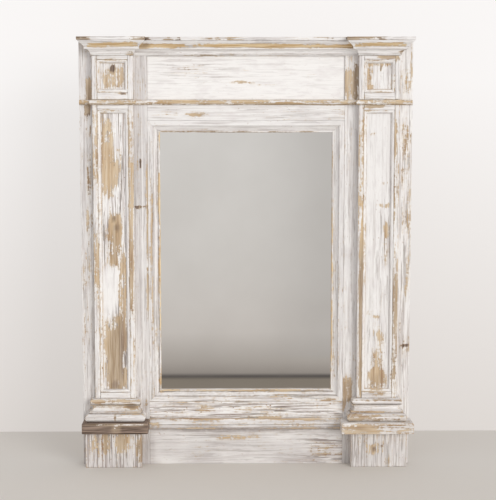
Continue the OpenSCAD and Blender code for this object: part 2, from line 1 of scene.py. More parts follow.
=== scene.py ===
# A tall overmantel mirror: worn white distemper over pine, silvered glass, hanging rings behind.
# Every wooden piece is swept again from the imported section, with eased and worn arrises.
import math
import bmesh
import bpy
import numpy as np
from mathutils import Euler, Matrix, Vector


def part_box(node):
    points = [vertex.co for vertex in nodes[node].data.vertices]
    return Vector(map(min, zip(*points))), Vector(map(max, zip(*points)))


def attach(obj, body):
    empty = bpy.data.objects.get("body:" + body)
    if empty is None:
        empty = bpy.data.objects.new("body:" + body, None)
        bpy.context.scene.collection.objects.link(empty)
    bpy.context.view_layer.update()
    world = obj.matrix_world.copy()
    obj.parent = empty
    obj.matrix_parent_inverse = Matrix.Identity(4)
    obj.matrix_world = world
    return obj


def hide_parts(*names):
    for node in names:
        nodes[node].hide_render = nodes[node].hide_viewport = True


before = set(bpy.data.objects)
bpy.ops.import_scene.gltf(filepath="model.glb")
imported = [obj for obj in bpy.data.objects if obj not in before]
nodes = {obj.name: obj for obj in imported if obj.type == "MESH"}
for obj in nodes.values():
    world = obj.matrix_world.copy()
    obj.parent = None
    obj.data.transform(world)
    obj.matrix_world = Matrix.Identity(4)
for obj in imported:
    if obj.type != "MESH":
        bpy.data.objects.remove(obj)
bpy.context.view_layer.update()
mm = 0.001
print("frame loaded:", len(nodes), "nodes")


# sRGB hex to a linear colour
def linear(hexColour):
    parts = [int(hexColour[i:i + 2], 16) / 255 for i in (1, 3, 5)]
    return tuple(c / 12.92 if c < 0.04045 else ((c + 0.055) / 1.055) ** 2.4 for c in parts) + (1.0,)


# adds one node; a value that is a socket is linked, anything else is set
def addNode(tree, kind, inputs=None, **settings):
    made = tree.nodes.new("ShaderNode" + kind)
    for key, value in settings.items():
        setattr(made, key, value)
    for key, value in (inputs or {}).items():
        if isinstance(value, bpy.types.NodeSocket):
            tree.links.new(value, made.inputs[key])
        else:
            made.inputs[key].default_value = value
    return made


# a material with an empty node tree
def newMaterial(name):
    material = bpy.data.materials.new(name)
    material.use_nodes = True
    material.node_tree.nodes.clear()
    return material, material.node_tree


def addToScene(name, data):
    thing = bpy.data.objects.new(name, data)
    bpy.context.scene.collection.objects.link(thing)
    return thing


# smooth noise from -1 to 1 with one lump every size metres, the same on every run
def lumps(points, size, seed):
    q = points / size + seed * 7.31
    base = np.floor(q).astype(np.int64)
    f = q - base
    f = f * f * (3 - 2 * f)
    total = np.zeros(len(points))
    for corner in range(8):
        step = np.array([corner & 1, corner >> 1 & 1, corner >> 2 & 1])
        cell = (base + step) & 1023
        h = (cell[:, 0] * 73856093 ^ cell[:, 1] * 19349663 ^ cell[:, 2] * 83492791) & 0x7FFFFFFF
        h = (h ^ (h >> 13)) * 1274126177 & 0x7FFFFFFF
        value = ((h ^ (h >> 16)) & 0xFFFF) / 32767.5 - 1
        total += value * np.prod(np.where(step, f, 1 - f), axis=1)
    return total


# Camera, light and floor

stageLook = dict(
    cameraAt=(-0.04825, -4.39405, 1.2), pitchDown=6.124, yaw=-0.654, lens=95.976, sensor=36, nearest=0.05,
    sunAzimuth=34, sunElevation=14, sunStrength=1.36, sunSpread=30, sunTint=(1.0, 0.985, 0.965),
    ambient="#DDDCDD", backdrop="#F9F7F6", backdropFoot="#DFDAD6", floor="#DDD8D1",
    floorFront=-1.1, floorBack=0.47, floorHalf=4, wallHeight=4,
    roughness=0.9, specular=0.1, wallFoot=1.3, wallGlow=0.72,
)

camera = addToScene("camera", bpy.data.cameras.new("camera"))
camera.location = stageLook["cameraAt"]
camera.rotation_euler = Euler((
    math.radians(90 - stageLook["pitchDown"]), 0, math.radians(stageLook["yaw"])))
camera.data.lens = stageLook["lens"]
camera.data.sensor_width = stageLook["sensor"]
camera.data.clip_start = stageLook["nearest"]
bpy.context.scene.camera = camera
bpy.context.scene.view_settings.view_transform = "Standard"

sun = addToScene("keyLight", bpy.data.lights.new("keyLight", "SUN"))
sun.data.energy = stageLook["sunStrength"]
sun.data.angle = math.radians(stageLook["sunSpread"])
sun.data.color = stageLook["sunTint"]
sun.rotation_euler = Euler((
    math.radians(90 - stageLook["sunElevation"]), 0, math.radians(stageLook["sunAzimuth"])))

# an even studio sky; what shines in the glass darkens towards the floor, as a room does
skyInGlass = [  # how steeply the reflected ray falls, and the colour it meets
    (-0.2800, "#C5BEB6"), (-0.2340, "#8D8479"), (-0.2062, "#827A6F"), (-0.2050, "#585350"),
    (-0.2034, "#5E5956"), (-0.2018, "#938C85"), (-0.1930, "#A8A19A"), (-0.1700, "#C6C0BA"),
    (-0.1140, "#CFCBC6"), (-0.0190, "#D4D1CD"),
]
steepest, shallowest = skyInGlass[0][0], skyInGlass[-1][0]
# the room is dimmer to the right: how far aside the ray goes, how dim it gets and in which tone
dimSide = dict(starts=0.005, full=0.08, most=0.5, tone="#AAA6A2")
world = bpy.data.worlds.new("studio")
world.use_nodes = True
bpy.context.scene.world = world
sky = world.node_tree
sky.nodes.clear()
heading = addNode(sky, "SeparateXYZ", {0: addNode(sky, "TexCoord").outputs["Generated"]}).outputs
forward = addNode(sky, "Math", {0: heading["Y"]}, operation="ABSOLUTE").outputs[0]
forward = addNode(sky, "Math", {0: forward, 1: 0.05}, operation="MAXIMUM").outputs[0]
fall = addNode(sky, "Math", {0: heading["Z"], 1: forward}, operation="DIVIDE").outputs[0]
fall = addNode(sky, "MapRange", {"Value": fall, "From Min": steepest, "From Max": shallowest}).outputs[0]
ramp = addNode(sky, "ValToRGB", {"Fac": fall})
while len(ramp.color_ramp.elements) < len(skyInGlass):
    ramp.color_ramp.elements.new(0.5)
for stop, (slope, colour) in zip(ramp.color_ramp.elements, skyInGlass):
    stop.position = (slope - steepest) / (shallowest - steepest)
    stop.color = linear(colour)
aside = addNode(sky, "Math", {0: heading["X"], 1: forward}, operation="DIVIDE").outputs[0]
aside = addNode(sky, "MapRange", {
    "Value": aside, "From Min": dimSide["starts"], "From Max": dimSide["full"],
    "To Max": dimSide["most"]}, interpolation_type="SMOOTHSTEP").outputs[0]
room = addNode(sky, "Mix", {
    0: aside, 6: ramp.outputs["Color"], 7: linear(dimSide["tone"])},
    data_type="RGBA", blend_type="DARKEN").outputs[2]
ray = addNode(sky, "LightPath").outputs
seen = addNode(sky, "Mix", {
    0: ray["Is Glossy Ray"], 6: linear(stageLook["ambient"]), 7: room}, data_type="RGBA").outputs[2]
seen = addNode(sky, "Mix", {
    0: ray["Is Camera Ray"], 6: seen, 7: linear(stageLook["backdrop"])}, data_type="RGBA").outputs[2]
glow = addNode(sky, "Background", {"Color": seen, "Strength": 1.0}).outputs[0]
addNode(sky, "OutputWorld", {"Surface": glow})


# a pale matt sheet that belongs to the stage
def stageSheet(name, corners, colour):
    sheet = bpy.data.meshes.new(name)
    sheet.from_pydata(corners, [], [(0, 1, 2, 3)])
    matt, tree = newMaterial("matt pale " + name)
    face = addNode(tree, "BsdfPrincipled", {
        "Base Color": linear(stageLook[colour]), "Roughness": stageLook["roughness"],
        "Specular IOR Level": stageLook["specular"]})
    end = addNode(tree, "OutputMaterial", {"Surface": face.outputs[0]})
    sheet.materials.append(matt)
    piece = addToScene(name, sheet)
    return piece, tree, face, end


half, front, back = stageLook["floorHalf"], stageLook["floorFront"], stageLook["floorBack"]
top = stageLook["wallHeight"]
stageSheet("floor", [(-half, front, 0), (half, front, 0), (half, back, 0), (-half, back, 0)], "floor")
# a wall behind that only the camera in front sees, painted a little darker towards its foot as shade, and
# partly glowing so that the object's shadow on it stays faint
wall, tree, face, end = stageSheet(
    "wall", [(-half, back, 0), (half, back, 0), (half, back, top), (-half, back, top)], "backdrop")
wall.visible_diffuse = wall.visible_glossy = wall.visible_shadow = False
height = addNode(tree, "SeparateXYZ", {0: addNode(tree, "TexCoord").outputs["Object"]}).outputs["Z"]
height = addNode(tree, "MapRange", {"Value": height, "From Max": stageLook["wallFoot"]}).outputs[0]
tone = addNode(tree, "Mix", {
    0: height, 6: linear(stageLook["backdropFoot"]), 7: linear(stageLook["backdrop"])},
    data_type="RGBA").outputs[2]
tree.links.new(tone, face.inputs["Base Color"])
lit = addNode(tree, "Emission", {"Color": tone, "Strength": 1.0}).outputs[0]
lit = addNode(tree, "MixShader", {0: stageLook["wallGlow"], 1: face.outputs[0], 2: lit}).outputs[0]
clear = addNode(tree, "BsdfTransparent").outputs[0]
behind = addNode(tree, "NewGeometry").outputs["Backfacing"]
seenWall = addNode(tree, "MixShader", {0: behind, 1: lit, 2: clear}).outputs[0]
tree.links.new(seenWall, end.inputs["Surface"])
print("stage ready")


# Distemper brushed thinly on pine and worn by a century of dusting: chalky white with a lilac
# cast where it is thin, gone in streaks along the grain and on every arris, with tan wood under it.
# The attributes on each piece say where: grain is metres along, across and into the board; arris,
# hollow and quirk are nearness to a worn edge, a corner where dirt gathers and painted shade darkens
# it, and the dark line deepest in that corner, also part dirt and part painted shade; bare, brown,
# gold, ridge and the greying mark are how far the paint is gone, the wood browned or gilded, the
# grain raised and the paint greyed by dust and by painted shade.
distemperLook = dict(
    # mm along and across the grain, detail and roughness
    patterns=dict(
        streak=(115, 8, 4, 0.6), fineStreak=(45, 4, 3, 0.6), chip=(11, 11, 4, 0.65), broad=(150, 75, 2, 0.5),
        ridge=(190, 4.8, 2, 0.5), crack=(130, 6.5, 3, 0.6), speck=(9.6, 6, 1, 0.5),
        woodGrain=(110, 4.5, 3, 0.6), woodTone=(210, 13, 3, 0.6), tone=(60, 22, 3, 0.6)),
    # how much each pattern and each mark has to say in where the paint is gone
    goneByPattern=dict(streak=0.29, fineStreak=0.27, chip=0.26, broad=0.18),
    goneByMark=dict(bare=0.235, arris=0.085, hollow=-0.03),
    gone=0.618, edgeWidth=0.009, rubbed=0.07, rubbedMost=0.6,
    # the pattern behind each effect, where it starts and is full, its least and most there;
    # None is as much as the raised grain lets show
    effects=dict(
        grainTone=("woodGrain", 0.36, 0.64, 0, 1), darker=("woodTone", 0.50, 0.74, 0, 1),
        thinness=("fineStreak", 0.46, 0.70, 0, None), lines=("ridge", 0.53, 0.60, 0, 1),
        cast=("tone", 0.5, 0.8, 0, 0.55), grimeAndShade=("chip", 0.3, 0.6, 0.2, 0.95),
        cracks=("crack", 0.575, 0.605, 0, None), dustAndShadeMottle=("broad", 0.3, 0.6, 0.3, 0.7),
        specks=("speck", 0.72, 0.77, 0, None)),
    leastShow=0.12, crackDepth=0.75, rimDepth=1.3,
    white="#F4F2EF", thin="#D5CDCC", rubbedTone="#DFD0BA", grimeAndShade="#9A8D82",
    paleWood="#DCCBB1", wood="#C5AA88", darkWood="#9C7C5E", brown="#45352B", brownPale="#9E8A7B",
    gold="#F1DCB4", goldDeep="#C5A171", dustAndShade="#ABA4A3", ridgeTone="#AEA29B", crackAndQuirkShadeTone="#6B5B4D",
    rimTone="#7A6350",
    paintThickness=0.5, woodRelief=0.5, lineRelief=-0.35, reliefStrength=0.8, reliefDepth=0.0011,
    paintRoughness=0.62, woodRoughness=0.78, ior=1.45,
)


def wornDistemper(name, look):
    material, tree = newMaterial(name)
    grain = addNode(tree, "Attribute", attribute_name="grain").outputs["Vector"]
    marks = {key: addNode(tree, "Attribute", attribute_name=key).outputs["Fac"]
             for key in ("arris", "hollow", "quirk", "bare", "brown", "gold", "ridge", "dustAndShade")}
    noise = {}
    for key, (along, across, detail, roughness) in look["patterns"].items():
        scaled = addNode(tree, "VectorMath", {
            0: grain, 1: (1000 / along, 1000 / across, 1000 / across)}, operation="MULTIPLY")
        noise[key] = addNode(tree, "TexNoise", {
            "Vector": scaled.outputs[0], "Scale": 1.0, "Detail": detail, "Roughness": roughness,
        }).outputs["Fac"]
    show = addNode(tree, "MapRange", {
        "Value": marks["ridge"], "To Min": look["leastShow"], "To Max": 1.0}).outputs[0]
    effect = {}
    for key, (pattern, starts, full, least, most) in look["effects"].items():
        effect[key] = addNode(tree, "MapRange", {
            "Value": noise[pattern], "From Min": starts, "From Max": full, "To Min": least,
            "To Max": show if most is None else most}).outputs[0]

    # how far the paint has gone: noise against a level that falls where the piece is worn
    worn = 0.0
    shares = [(noise[key], share) for key, share in look["goneByPattern"].items()]
    shares += [(marks[key], share) for key, share in look["goneByMark"].items()]
    for source, share in shares:
        worn = addNode(tree, "Math", {0: source, 1: share, 2: worn}, operation="MULTIPLY_ADD").outputs[0]
    gone = addNode(tree, "MapRange", {
        "Value": worn, "From Min": look["gone"] - look["edgeWidth"],
        "From Max": look["gone"] + look["edgeWidth"]}, interpolation_type="SMOOTHSTEP").outputs[0]
    rubbed = addNode(tree, "MapRange", {
        "Value": worn, "From Min": look["gone"] - look["rubbed"], "From Max": look["gone"],
        "To Max": look["rubbedMost"]}).outputs[0]

    # the wood under the paint, gilded or browned where the piece says so
    wood = addNode(tree, "Mix", {
        0: effect["grainTone"], 6: linear(look["paleWood"]), 7: linear(look["wood"])}, data_type="RGBA")
    wood = addNode(tree, "Mix", {
        0: effect["darker"], 6: wood.outputs[2], 7: linear(look["darkWood"])}, data_type="RGBA")
    for key, pale, deep in (("gold", "gold", "goldDeep"), ("brown", "brownPale", "brown")):
        stain = addNode(tree, "Mix", {
            0: effect["grainTone"], 6: linear(look[pale]), 7: linear(look[deep])}, data_type="RGBA")
        amount = addNode(tree, "Clamp", {"Value": marks[key]})
        wood = addNode(tree, "Mix", {
            0: amount.outputs[0], 6: wood.outputs[2], 7: stain.outputs[2]}, data_type="RGBA")

    # the paint, full and thin, and what lies over it, from dirt and dust to painted shade in hollows, quirks
    # and shaded places: how much, times what, and its tone
    lines = addNode(tree, "Math", {0: effect["lines"], 1: marks["ridge"]}, operation="MULTIPLY").outputs[0]
    paint = linear(look["white"])
    for amount, times, tone in (
            (effect["thinness"], 1.0, "thin"), (rubbed, 1.0, "rubbedTone"), (lines, 1.0, "ridgeTone"),
            (effect["cast"], 1.0, "thin"), (effect["grimeAndShade"], marks["hollow"], "grimeAndShade"),
            (marks["quirk"], 1.0, "crackAndQuirkShadeTone"), (effect["cracks"], look["crackDepth"], "crackAndQuirkShadeTone"),
            (effect["dustAndShadeMottle"], marks["dustAndShade"], "dustAndShade"), (effect["specks"], 1.0, "darkWood")):
        amount = addNode(tree, "Math", {0: amount, 1: times}, operation="MULTIPLY").outputs[0]
        paint = addNode(tree, "Mix", {
            0: amount, 6: paint, 7: linear(look[tone])}, data_type="RGBA").outputs[2]

    colour = addNode(tree, "Mix", {0: gone, 6: paint, 7: wood.outputs[2]}, data_type="RGBA")
    # a thin shadow along each broken edge of the paint
    left = addNode(tree, "Math", {0: 1.0, 1: gone}, operation="SUBTRACT").outputs[0]
    rim = addNode(tree, "Math", {0: gone, 1: left}, operation="MULTIPLY")
    rim = addNode(tree, "Math", {0: rim.outputs[0], 1: look["rimDepth"]}, operation="MULTIPLY")
    colour = addNode(tree, "Mix", {
        0: rim.outputs[0], 6: colour.outputs[2], 7: linear(look["rimTone"])}, data_type="RGBA")
    roughness = addNode(tree, "MapRange", {
        "Value": gone, "To Min": look["paintRoughness"], "To Max": look["woodRoughness"]}).outputs[0]
    relief = 0.0
    for source, share in (
            (noise["woodGrain"], "woodRelief"), (left, "paintThickness"), (lines, "lineRelief")):
        relief = addNode(tree, "Math", {
            0: source, 1: look[share], 2: relief}, operation="MULTIPLY_ADD").outputs[0]
    bump = addNode(tree, "Bump", {
        "Strength": look["reliefStrength"], "Distance": look["reliefDepth"], "Height": relief})
    surface = addNode(tree, "BsdfPrincipled", {
        "Base Color": colour.outputs[2], "Roughness": roughness, "Normal": bump.outputs[0]})
    surface.inputs["IOR"].default_value = look["ior"]
    addNode(tree, "OutputMaterial", {"Surface": surface.outputs[0]})
    return material


# Wood that was never painted. axis is the grain's direction in the object; grain and figure are mm
# along and across it.
def bareWood(name, look):
    material, tree = newMaterial(name)
    place = addNode(tree, "SeparateXYZ", {0: addNode(tree, "TexCoord").outputs["Object"]})
    order = {0: "XZY", 2: "ZXY"}[look["axis"]]
    grain = addNode(tree, "CombineXYZ", {
        i: place.outputs[letter] for i, letter in enumerate(order)}).outputs[0]
    noise = []
    for along, across in (look["grain"], look["figure"]):
        scaled = addNode(tree, "VectorMath", {
            0: grain, 1: (1000 / along, 1000 / across, 1000 / across)}, operation="MULTIPLY")
        noise.append(addNode(tree, "TexNoise", {
            "Vector": scaled.outputs[0], "Scale": 1.0, "Detail": 4.0, "Roughness": 0.6,
            "Distortion": 0.4}).outputs["Fac"])
    colour = linear(look["light"])
    for pattern, starts, full, tone in ((noise[0], 0.35, 0.65, "dark"), (noise[1], 0.4, 0.68, "deep")):
        amount = addNode(tree, "MapRange", {
            "Value": pattern, "From Min": starts, "From Max": full}).outputs[0]
        colour = addNode(tree, "Mix", {
            0: amount, 6: colour, 7: linear(look[tone])}, data_type="RGBA").outputs[2]
    bump = addNode(tree, "Bump", {"Strength": 0.6, "Distance": 0.0006, "Height": noise[0]})
    surface = addNode(tree, "BsdfPrincipled", {
        "Base Color": colour, "Roughness": look["roughness"], "Normal": bump.outputs[0]})
    addNode(tree, "OutputMaterial", {"Surface": surface.outputs[0]})
    return material


distemper = wornDistemper("worn distemper on pine", distemperLook)
# sawn battens: warm and rough, with close grain
battenPine = bareWood("sawn pine", dict(
    axis=0, grain=(140, 3.5), figure=(420, 30), light="#CDB08A", dark="#B3946C", deep="#9C7C58",
    roughness=0.8))
# birch-faced sheet behind the glass: pale, close grain running up the sheet
backSheet = bareWood("plywood sheet", dict(
    axis=2, grain=(150, 2.5), figure=(520, 70), light="#C8B08D", dark="#B89C76", deep="#AA8D68",
    roughness=0.7))
print("wood finishes ready")

# The glass was silvered long ago: a little grey, very slightly soft, and cloudy in patches of 200 mm.
glassLook = dict(cloud=200, softness=(0.008, 0.03), clear="#FFFFFF", dim="#F1F0EF")
silvering, tree = newMaterial("aged silvered glass")
cloud = addNode(tree, "TexNoise", {
    "Vector": addNode(tree, "TexCoord").outputs["Object"], "Scale": 1000 / glassLook["cloud"],
    "Detail": 3.0}).outputs["Fac"]
softness = addNode(tree, "MapRange", {
    "Value": cloud, "From Min": 0.3, "From Max": 0.8, "To Min": glassLook["softness"][0],
    "To Max": glassLook["softness"][1]}).outputs[0]
tint = addNode(tree, "Mix", {
    0: cloud, 6: linear(glassLook["clear"]), 7: linear(glassLook["dim"])}, data_type="RGBA")
mirrorFace = addNode(tree, "BsdfPrincipled", {
    "Base Color": tint.outputs[2], "Roughness": softness, "Metallic": 1.0})
addNode(tree, "OutputMaterial", {"Surface": mirrorFace.outputs[0]})

# Zinc-plated steel: bent straps, rings and countersunk screws, dulled, with faint drawn scratches.
# mottle is mm; the scratches are mm across and along, coarser than real ones to show.
zincLook = dict(
    mottle=5.5556, scratch=(1.1111, 16.667), bright="#C4C6C8", dull="#8F9092", roughness=(0.28, 0.55),
    scratchStrength=0.25, scratchDepth=0.0002)
zinc, tree = newMaterial("zinc-plated steel")
place = addNode(tree, "TexCoord").outputs["Object"]
mottle = addNode(tree, "TexNoise", {
    "Vector": place, "Scale": 1000 / zincLook["mottle"], "Detail": 3.0}).outputs["Fac"]
across, along = zincLook["scratch"]
scratch = addNode(tree, "VectorMath", {
    0: place, 1: (1000 / across, 1000 / across, 1000 / along)}, operation="MULTIPLY").outputs[0]
scratch = addNode(tree, "TexNoise", {"Vector": scratch, "Scale": 1.0, "Detail": 2.0}).outputs["Fac"]
dulled = addNode(tree, "MapRange", {"Value": mottle, "From Min": 0.35, "From Max": 0.7}).outputs[0]
metal = addNode(tree, "Mix", {
    0: dulled, 6: linear(zincLook["bright"]), 7: linear(zincLook["dull"])}, data_type="RGBA").outputs[2]
roughness = addNode(tree, "MapRange", {
    "Value": scratch, "To Min": zincLook["roughness"][0], "To Max": zincLook["roughness"][1]}).outputs[0]
bump = addNode(tree, "Bump", {
    "Strength": zincLook["scratchStrength"], "Distance": zincLook["scratchDepth"], "Height": scratch})
zincFace = addNode(tree, "BsdfPrincipled", {
    "Base Color": metal, "Roughness": roughness, "Metallic": 0.9, "Normal": bump.outputs[0]})
addNode(tree, "OutputMaterial", {"Surface": zincFace.outputs[0]})
print("glass and metal ready")


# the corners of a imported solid
def meshPoints(node):
    points = np.empty(len(nodes[node].data.vertices) * 3, np.float32)
    nodes[node].data.vertices.foreach_get("co", points)
    return points.reshape(-1, 3).astype(float)


# metres from a sharp edge at which a section or a run gets its closest rows of points, and how
# wide the wear reaches from an arris, an end and a forward corner, and the dirt from a hollow
edgeRows = (0.0012, 0.0035)
reachOf = dict(arris=0.0026, end=0.0026, corner=0.003, hollow=0.0036)
sharpFrom = 27  # degrees of bend at which a corner counts as sharp


# the outlines where a plane across an axis cuts a solid, as points on the other two axes
def cutOutlines(node, axis, at):
    solid = bmesh.new()
    solid.from_mesh(nodes[node].data)
    bmesh.ops.remove_doubles(solid, verts=solid.verts, dist=1e-6)
    point, normal = [0, 0, 0], [0, 0, 0]
    point[axis], normal[axis] = at, 1
    cut = bmesh.ops.bisect_plane(
        solid, geom=solid.verts[:] + solid.edges[:] + solid.faces[:], plane_co=point, plane_no=normal)
    beside = {}
    for edge in cut["geom_cut"]:
        if isinstance(edge, bmesh.types.BMEdge):
            for a, b in (edge.verts, reversed(edge.verts)):
                beside.setdefault(a, []).append(b)
    u, w = (axis + 1) % 3, (axis + 2) % 3
    left, outlines = dict.fromkeys(beside), []
    while left:
        here = next(iter(left))
        walk = []
        while here is not None:
            left.pop(here)
            walk.append((here.co[u], here.co[w]))
            here = next((v for v in beside[here] if v in left), None)
        outlines.append(tidyOutline(np.array(walk)))
    solid.free()
    return outlines


# drops points that lie on a straight line and turns the outline anticlockwise
def tidyOutline(points):
    kept = True
    while kept:
        before, after = np.roll(points, 1, 0), np.roll(points, -1, 0)
        chord = after - before
        off = np.abs(chord[:, 0] * (points - before)[:, 1] - chord[:, 1] * (points - before)[:, 0])
        flat = off / np.maximum(np.hypot(*chord.T), 1e-9) < 4e-6
        kept = bool(flat.any())
        if kept:
            points = np.delete(points, np.flatnonzero(flat)[0], 0)
    x, y = points.T
    turn = np.sum(x * np.roll(y, -1) - np.roll(x, -1) * y)
    return points if turn > 0 else points[::-1].copy()


# eases every sharp corner of an outline and spaces its points, with a denser pair beside each corner
def easeOutline(points, ease, gap):
    n = len(points)
    before, after = np.roll(points, 1, 0), np.roll(points, -1, 0)
    cameBy, goesBy = points - before, after - points
    lenIn, lenOut = np.hypot(*cameBy.T), np.hypot(*goesBy.T)
    dirIn, dirOut = cameBy / lenIn[:, None], goesBy / lenOut[:, None]
    bend = np.arctan2(dirIn[:, 0] * dirOut[:, 1] - dirIn[:, 1] * dirOut[:, 0], (dirIn * dirOut).sum(1))
    sharp = np.abs(bend) > math.radians(sharpFrom)
    r = np.where(sharp, np.minimum(ease, 0.35 * np.minimum(lenIn, lenOut)), 0)
    r = np.where(bend < 0, np.minimum(r, ease * 0.4), r)
    eased = []
    for i in range(n):
        enter, leave = points[i] - dirIn[i] * r[i], points[i] + dirOut[i] * r[i]
        if sharp[i]:
            eased += [enter, (enter + 2 * points[i] + leave) / 4]
        eased.append(leave)
        j = (i + 1) % n
        reach = lenOut[i] - r[i] - r[j]
        marks = [d for d in edgeRows if sharp[i] and d < reach / 3]
        marks += [reach - d for d in edgeRows if sharp[j] and d < reach / 3]
        inner = np.arange(1, math.ceil(reach / gap)) * reach / math.ceil(max(reach, 1e-6) / gap)
        marks += [d for d in inner if all(abs(d - m) > 0.002 for m in marks)]
        eased += [leave + dirOut[i] * d for d in sorted(marks)]
    eased = np.array(eased)

    def nearness(corners, width):
        if not len(corners):
            return np.zeros(len(eased))
        away = np.hypot(*(eased[:, None, :] - corners[None, :, :]).transpose(2, 0, 1)).min(1)
        return np.exp(-(away / width) ** 2)

    arris = nearness(points[sharp & (bend > 0)], reachOf["arris"])
    hollow = nearness(points[sharp & (bend < 0)], reachOf["hollow"])
    tangent = np.roll(eased, -1, 0) - np.roll(eased, 1, 0)
    outward = np.stack([tangent[:, 1], -tangent[:, 0]], 1)
    outward /= np.maximum(np.hypot(*outward.T), 1e-9)[:, None]
    return eased, arris, hollow, outward


# one closed run of wood between two outlines in space, which may be cut at a mitre
def wood(start, end, arris, hollow, outward, axis, mitred=(False, False), step=0.009):
    length = np.linalg.norm(end - start, axis=1).mean()
    # how far along each station is, and how far it is drawn in: a plain end is eased, a mitre isn't
    close, wide = edgeRows
    eased = [(0.0, 0.0009), (0.0003, 0.0003), (0.001, 0.0), (wide, 0.0)]
    cut = [(0.0, 0.0), (close, 0.0), (wide, 0.0)]
    head = [d for d in (cut if mitred[0] else eased) if d[0] < length / 3]
    tail = [(length - d, inset) for d, inset in (cut if mitred[1] else eased) if d < length / 3]
    count = max(1, math.ceil((length - 2 * wide) / step))
    middle = []
    if length > 0.02:
        middle = [(wide + (length - 2 * wide) * i / count, 0.0) for i in range(1, count)]
    stations = head + middle + tail[::-1]
    share = np.array([d / length for d, _ in stations])
    inset = np.array([i for _, i in stations])
    verts = start[None] + (end - start)[None] * share[:, None, None] - outward[None] * inset[:, None, None]
    edge = np.zeros(len(stations))
    for isMitre, away in ((mitred[0], share * length), (mitred[1], (1 - share) * length)):
        if not isMitre:
            edge = np.maximum(edge, np.exp(-(away / reachOf["end"]) ** 2))
    arris = np.maximum(arris[None], edge[:, None])
    return closedPart(verts, axis, arris, np.tile(hollow, (len(stations), 1)))


# joins rings of points into one closed part, with its faces looking outward
def closedPart(rings, axis, arris, hollow):
    m, n = rings.shape[:2]
    grid = np.arange(m * n).reshape(m, n)
    quads = np.stack([grid[:-1], np.roll(grid, -1, 1)[:-1], np.roll(grid, -1, 1)[1:], grid[1:]], -1)
    faces = [tuple(q) for q in quads.reshape(-1, 4).tolist()]
    faces += [tuple(grid[0, ::-1].tolist()), tuple(grid[-1].tolist())]
    verts = rings.reshape(-1, 3)
    a, b, c, d = (verts[[f[k] for f in faces if len(f) == 4]] for k in range(4))
    side = np.einsum("ij,ij->i", (a + c) / 2 - verts.mean(0), np.cross(c - a, d - b))
    if side.sum() < 0:
        faces = [f[::-1] for f in faces]
    return dict(verts=verts, faces=faces, axis=axis, arris=arris.ravel(), hollow=hollow.ravel())


# the points of an outline set out in space, across an axis and at a place along it
def inSpace(points, axis, along=0.0):
    placed = np.empty((len(points), 3))
    for column, values in ((axis + 1, points[:, 0]), (axis + 2, points[:, 1]), (axis, along)):
        placed[:, column % 3] = values
    return placed


# the straight runs that make up a node, swept along an axis from the section found at a share of
# its length; each end is fitted to the solid's own end, so mitres stay closed
def runs(node, axis, at=0.43, lo=None, hi=None, ease=0.0012, gap=0.007, step=0.009):
    points = meshPoints(node)
    u, w = (axis + 1) % 3, (axis + 2) % 3
    first = points[:, axis].min() if lo is None else lo
    last = points[:, axis].max() if hi is None else hi
    parts = []
    for outline in cutOutlines(node, axis, first + (last - first) * at):
        ends, mitred = [], []
        eased, arris, hollow, outward = easeOutline(outline, ease, gap)
        for given, pick in ((lo, np.min), (hi, np.max)):
            fit = np.array([0.0, 0.0, given or 0.0])
            if given is None:
                rows, found = [], []
                for a, b in outline:
                    same = (np.abs(points[:, u] - a) < 3e-5) & (np.abs(points[:, w] - b) < 3e-5)
                    if same.any():
                        rows.append((a, b, 1.0))
                        found.append(pick(points[same, axis]))
                fit = np.linalg.lstsq(np.array(rows), np.array(found), rcond=1e-9)[0]
            mitred.append(bool(np.abs(fit[:2]).max() > 0.1))
            ends.append(inSpace(eased, axis, eased @ fit[:2] + fit[2]))
        parts.append(wood(*ends, arris, hollow, inSpace(outward, axis), axis, tuple(mitred), step))
    return parts


# a plain board between two corners, with its grain along an axis
def plank(low, high, axis, ease=0.0012, gap=0.007):
    u, w = (axis + 1) % 3, (axis + 2) % 3
    outline = np.array([(low[u], low[w]), (high[u], low[w]), (high[u], high[w]), (low[u], high[w])])
    eased, arris, hollow, outward = easeOutline(outline, ease, gap)
    ends = [inSpace(eased, axis, at) for at in (low[axis], high[axis])]
    return wood(*ends, arris, hollow, inSpace(outward, axis), axis)


# a section (out from a face, height) run along X or Y; start and end are given for each distance out
def mouldingRun(section, axis, place, start, end, mitred=(True, True)):
    eased, arris, hollow, outward = section
    out, z = eased.T
    ends = []
    for along in (start, end):
        across = place[0] + place[1] * out
        length = along[0] + along[1] * out
        ends.append(np.stack([length, across, z] if axis == 0 else [across, length, z], 1))
    outward3d = np.zeros((len(eased), 3))
    outward3d[:, 1 - axis], outward3d[:, 2] = outward[:, 0] * place[1], outward[:, 1]
    return wood(*ends, arris, hollow, outward3d, axis, mitred)


# the section of a moulding that stands out from a face of the pilaster or stile, as (out, height)
def sectionOut(node, faceY, ease=0.0010, gap=0.0045):
    low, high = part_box(node)
    outline = cutOutlines(node, 0, (low.x * 0.53 + high.x * 0.47))[0]
    outline = np.stack([faceY - outline[:, 0], outline[:, 1]], 1)
    return easeOutline(tidyOutline(outline), ease, gap)


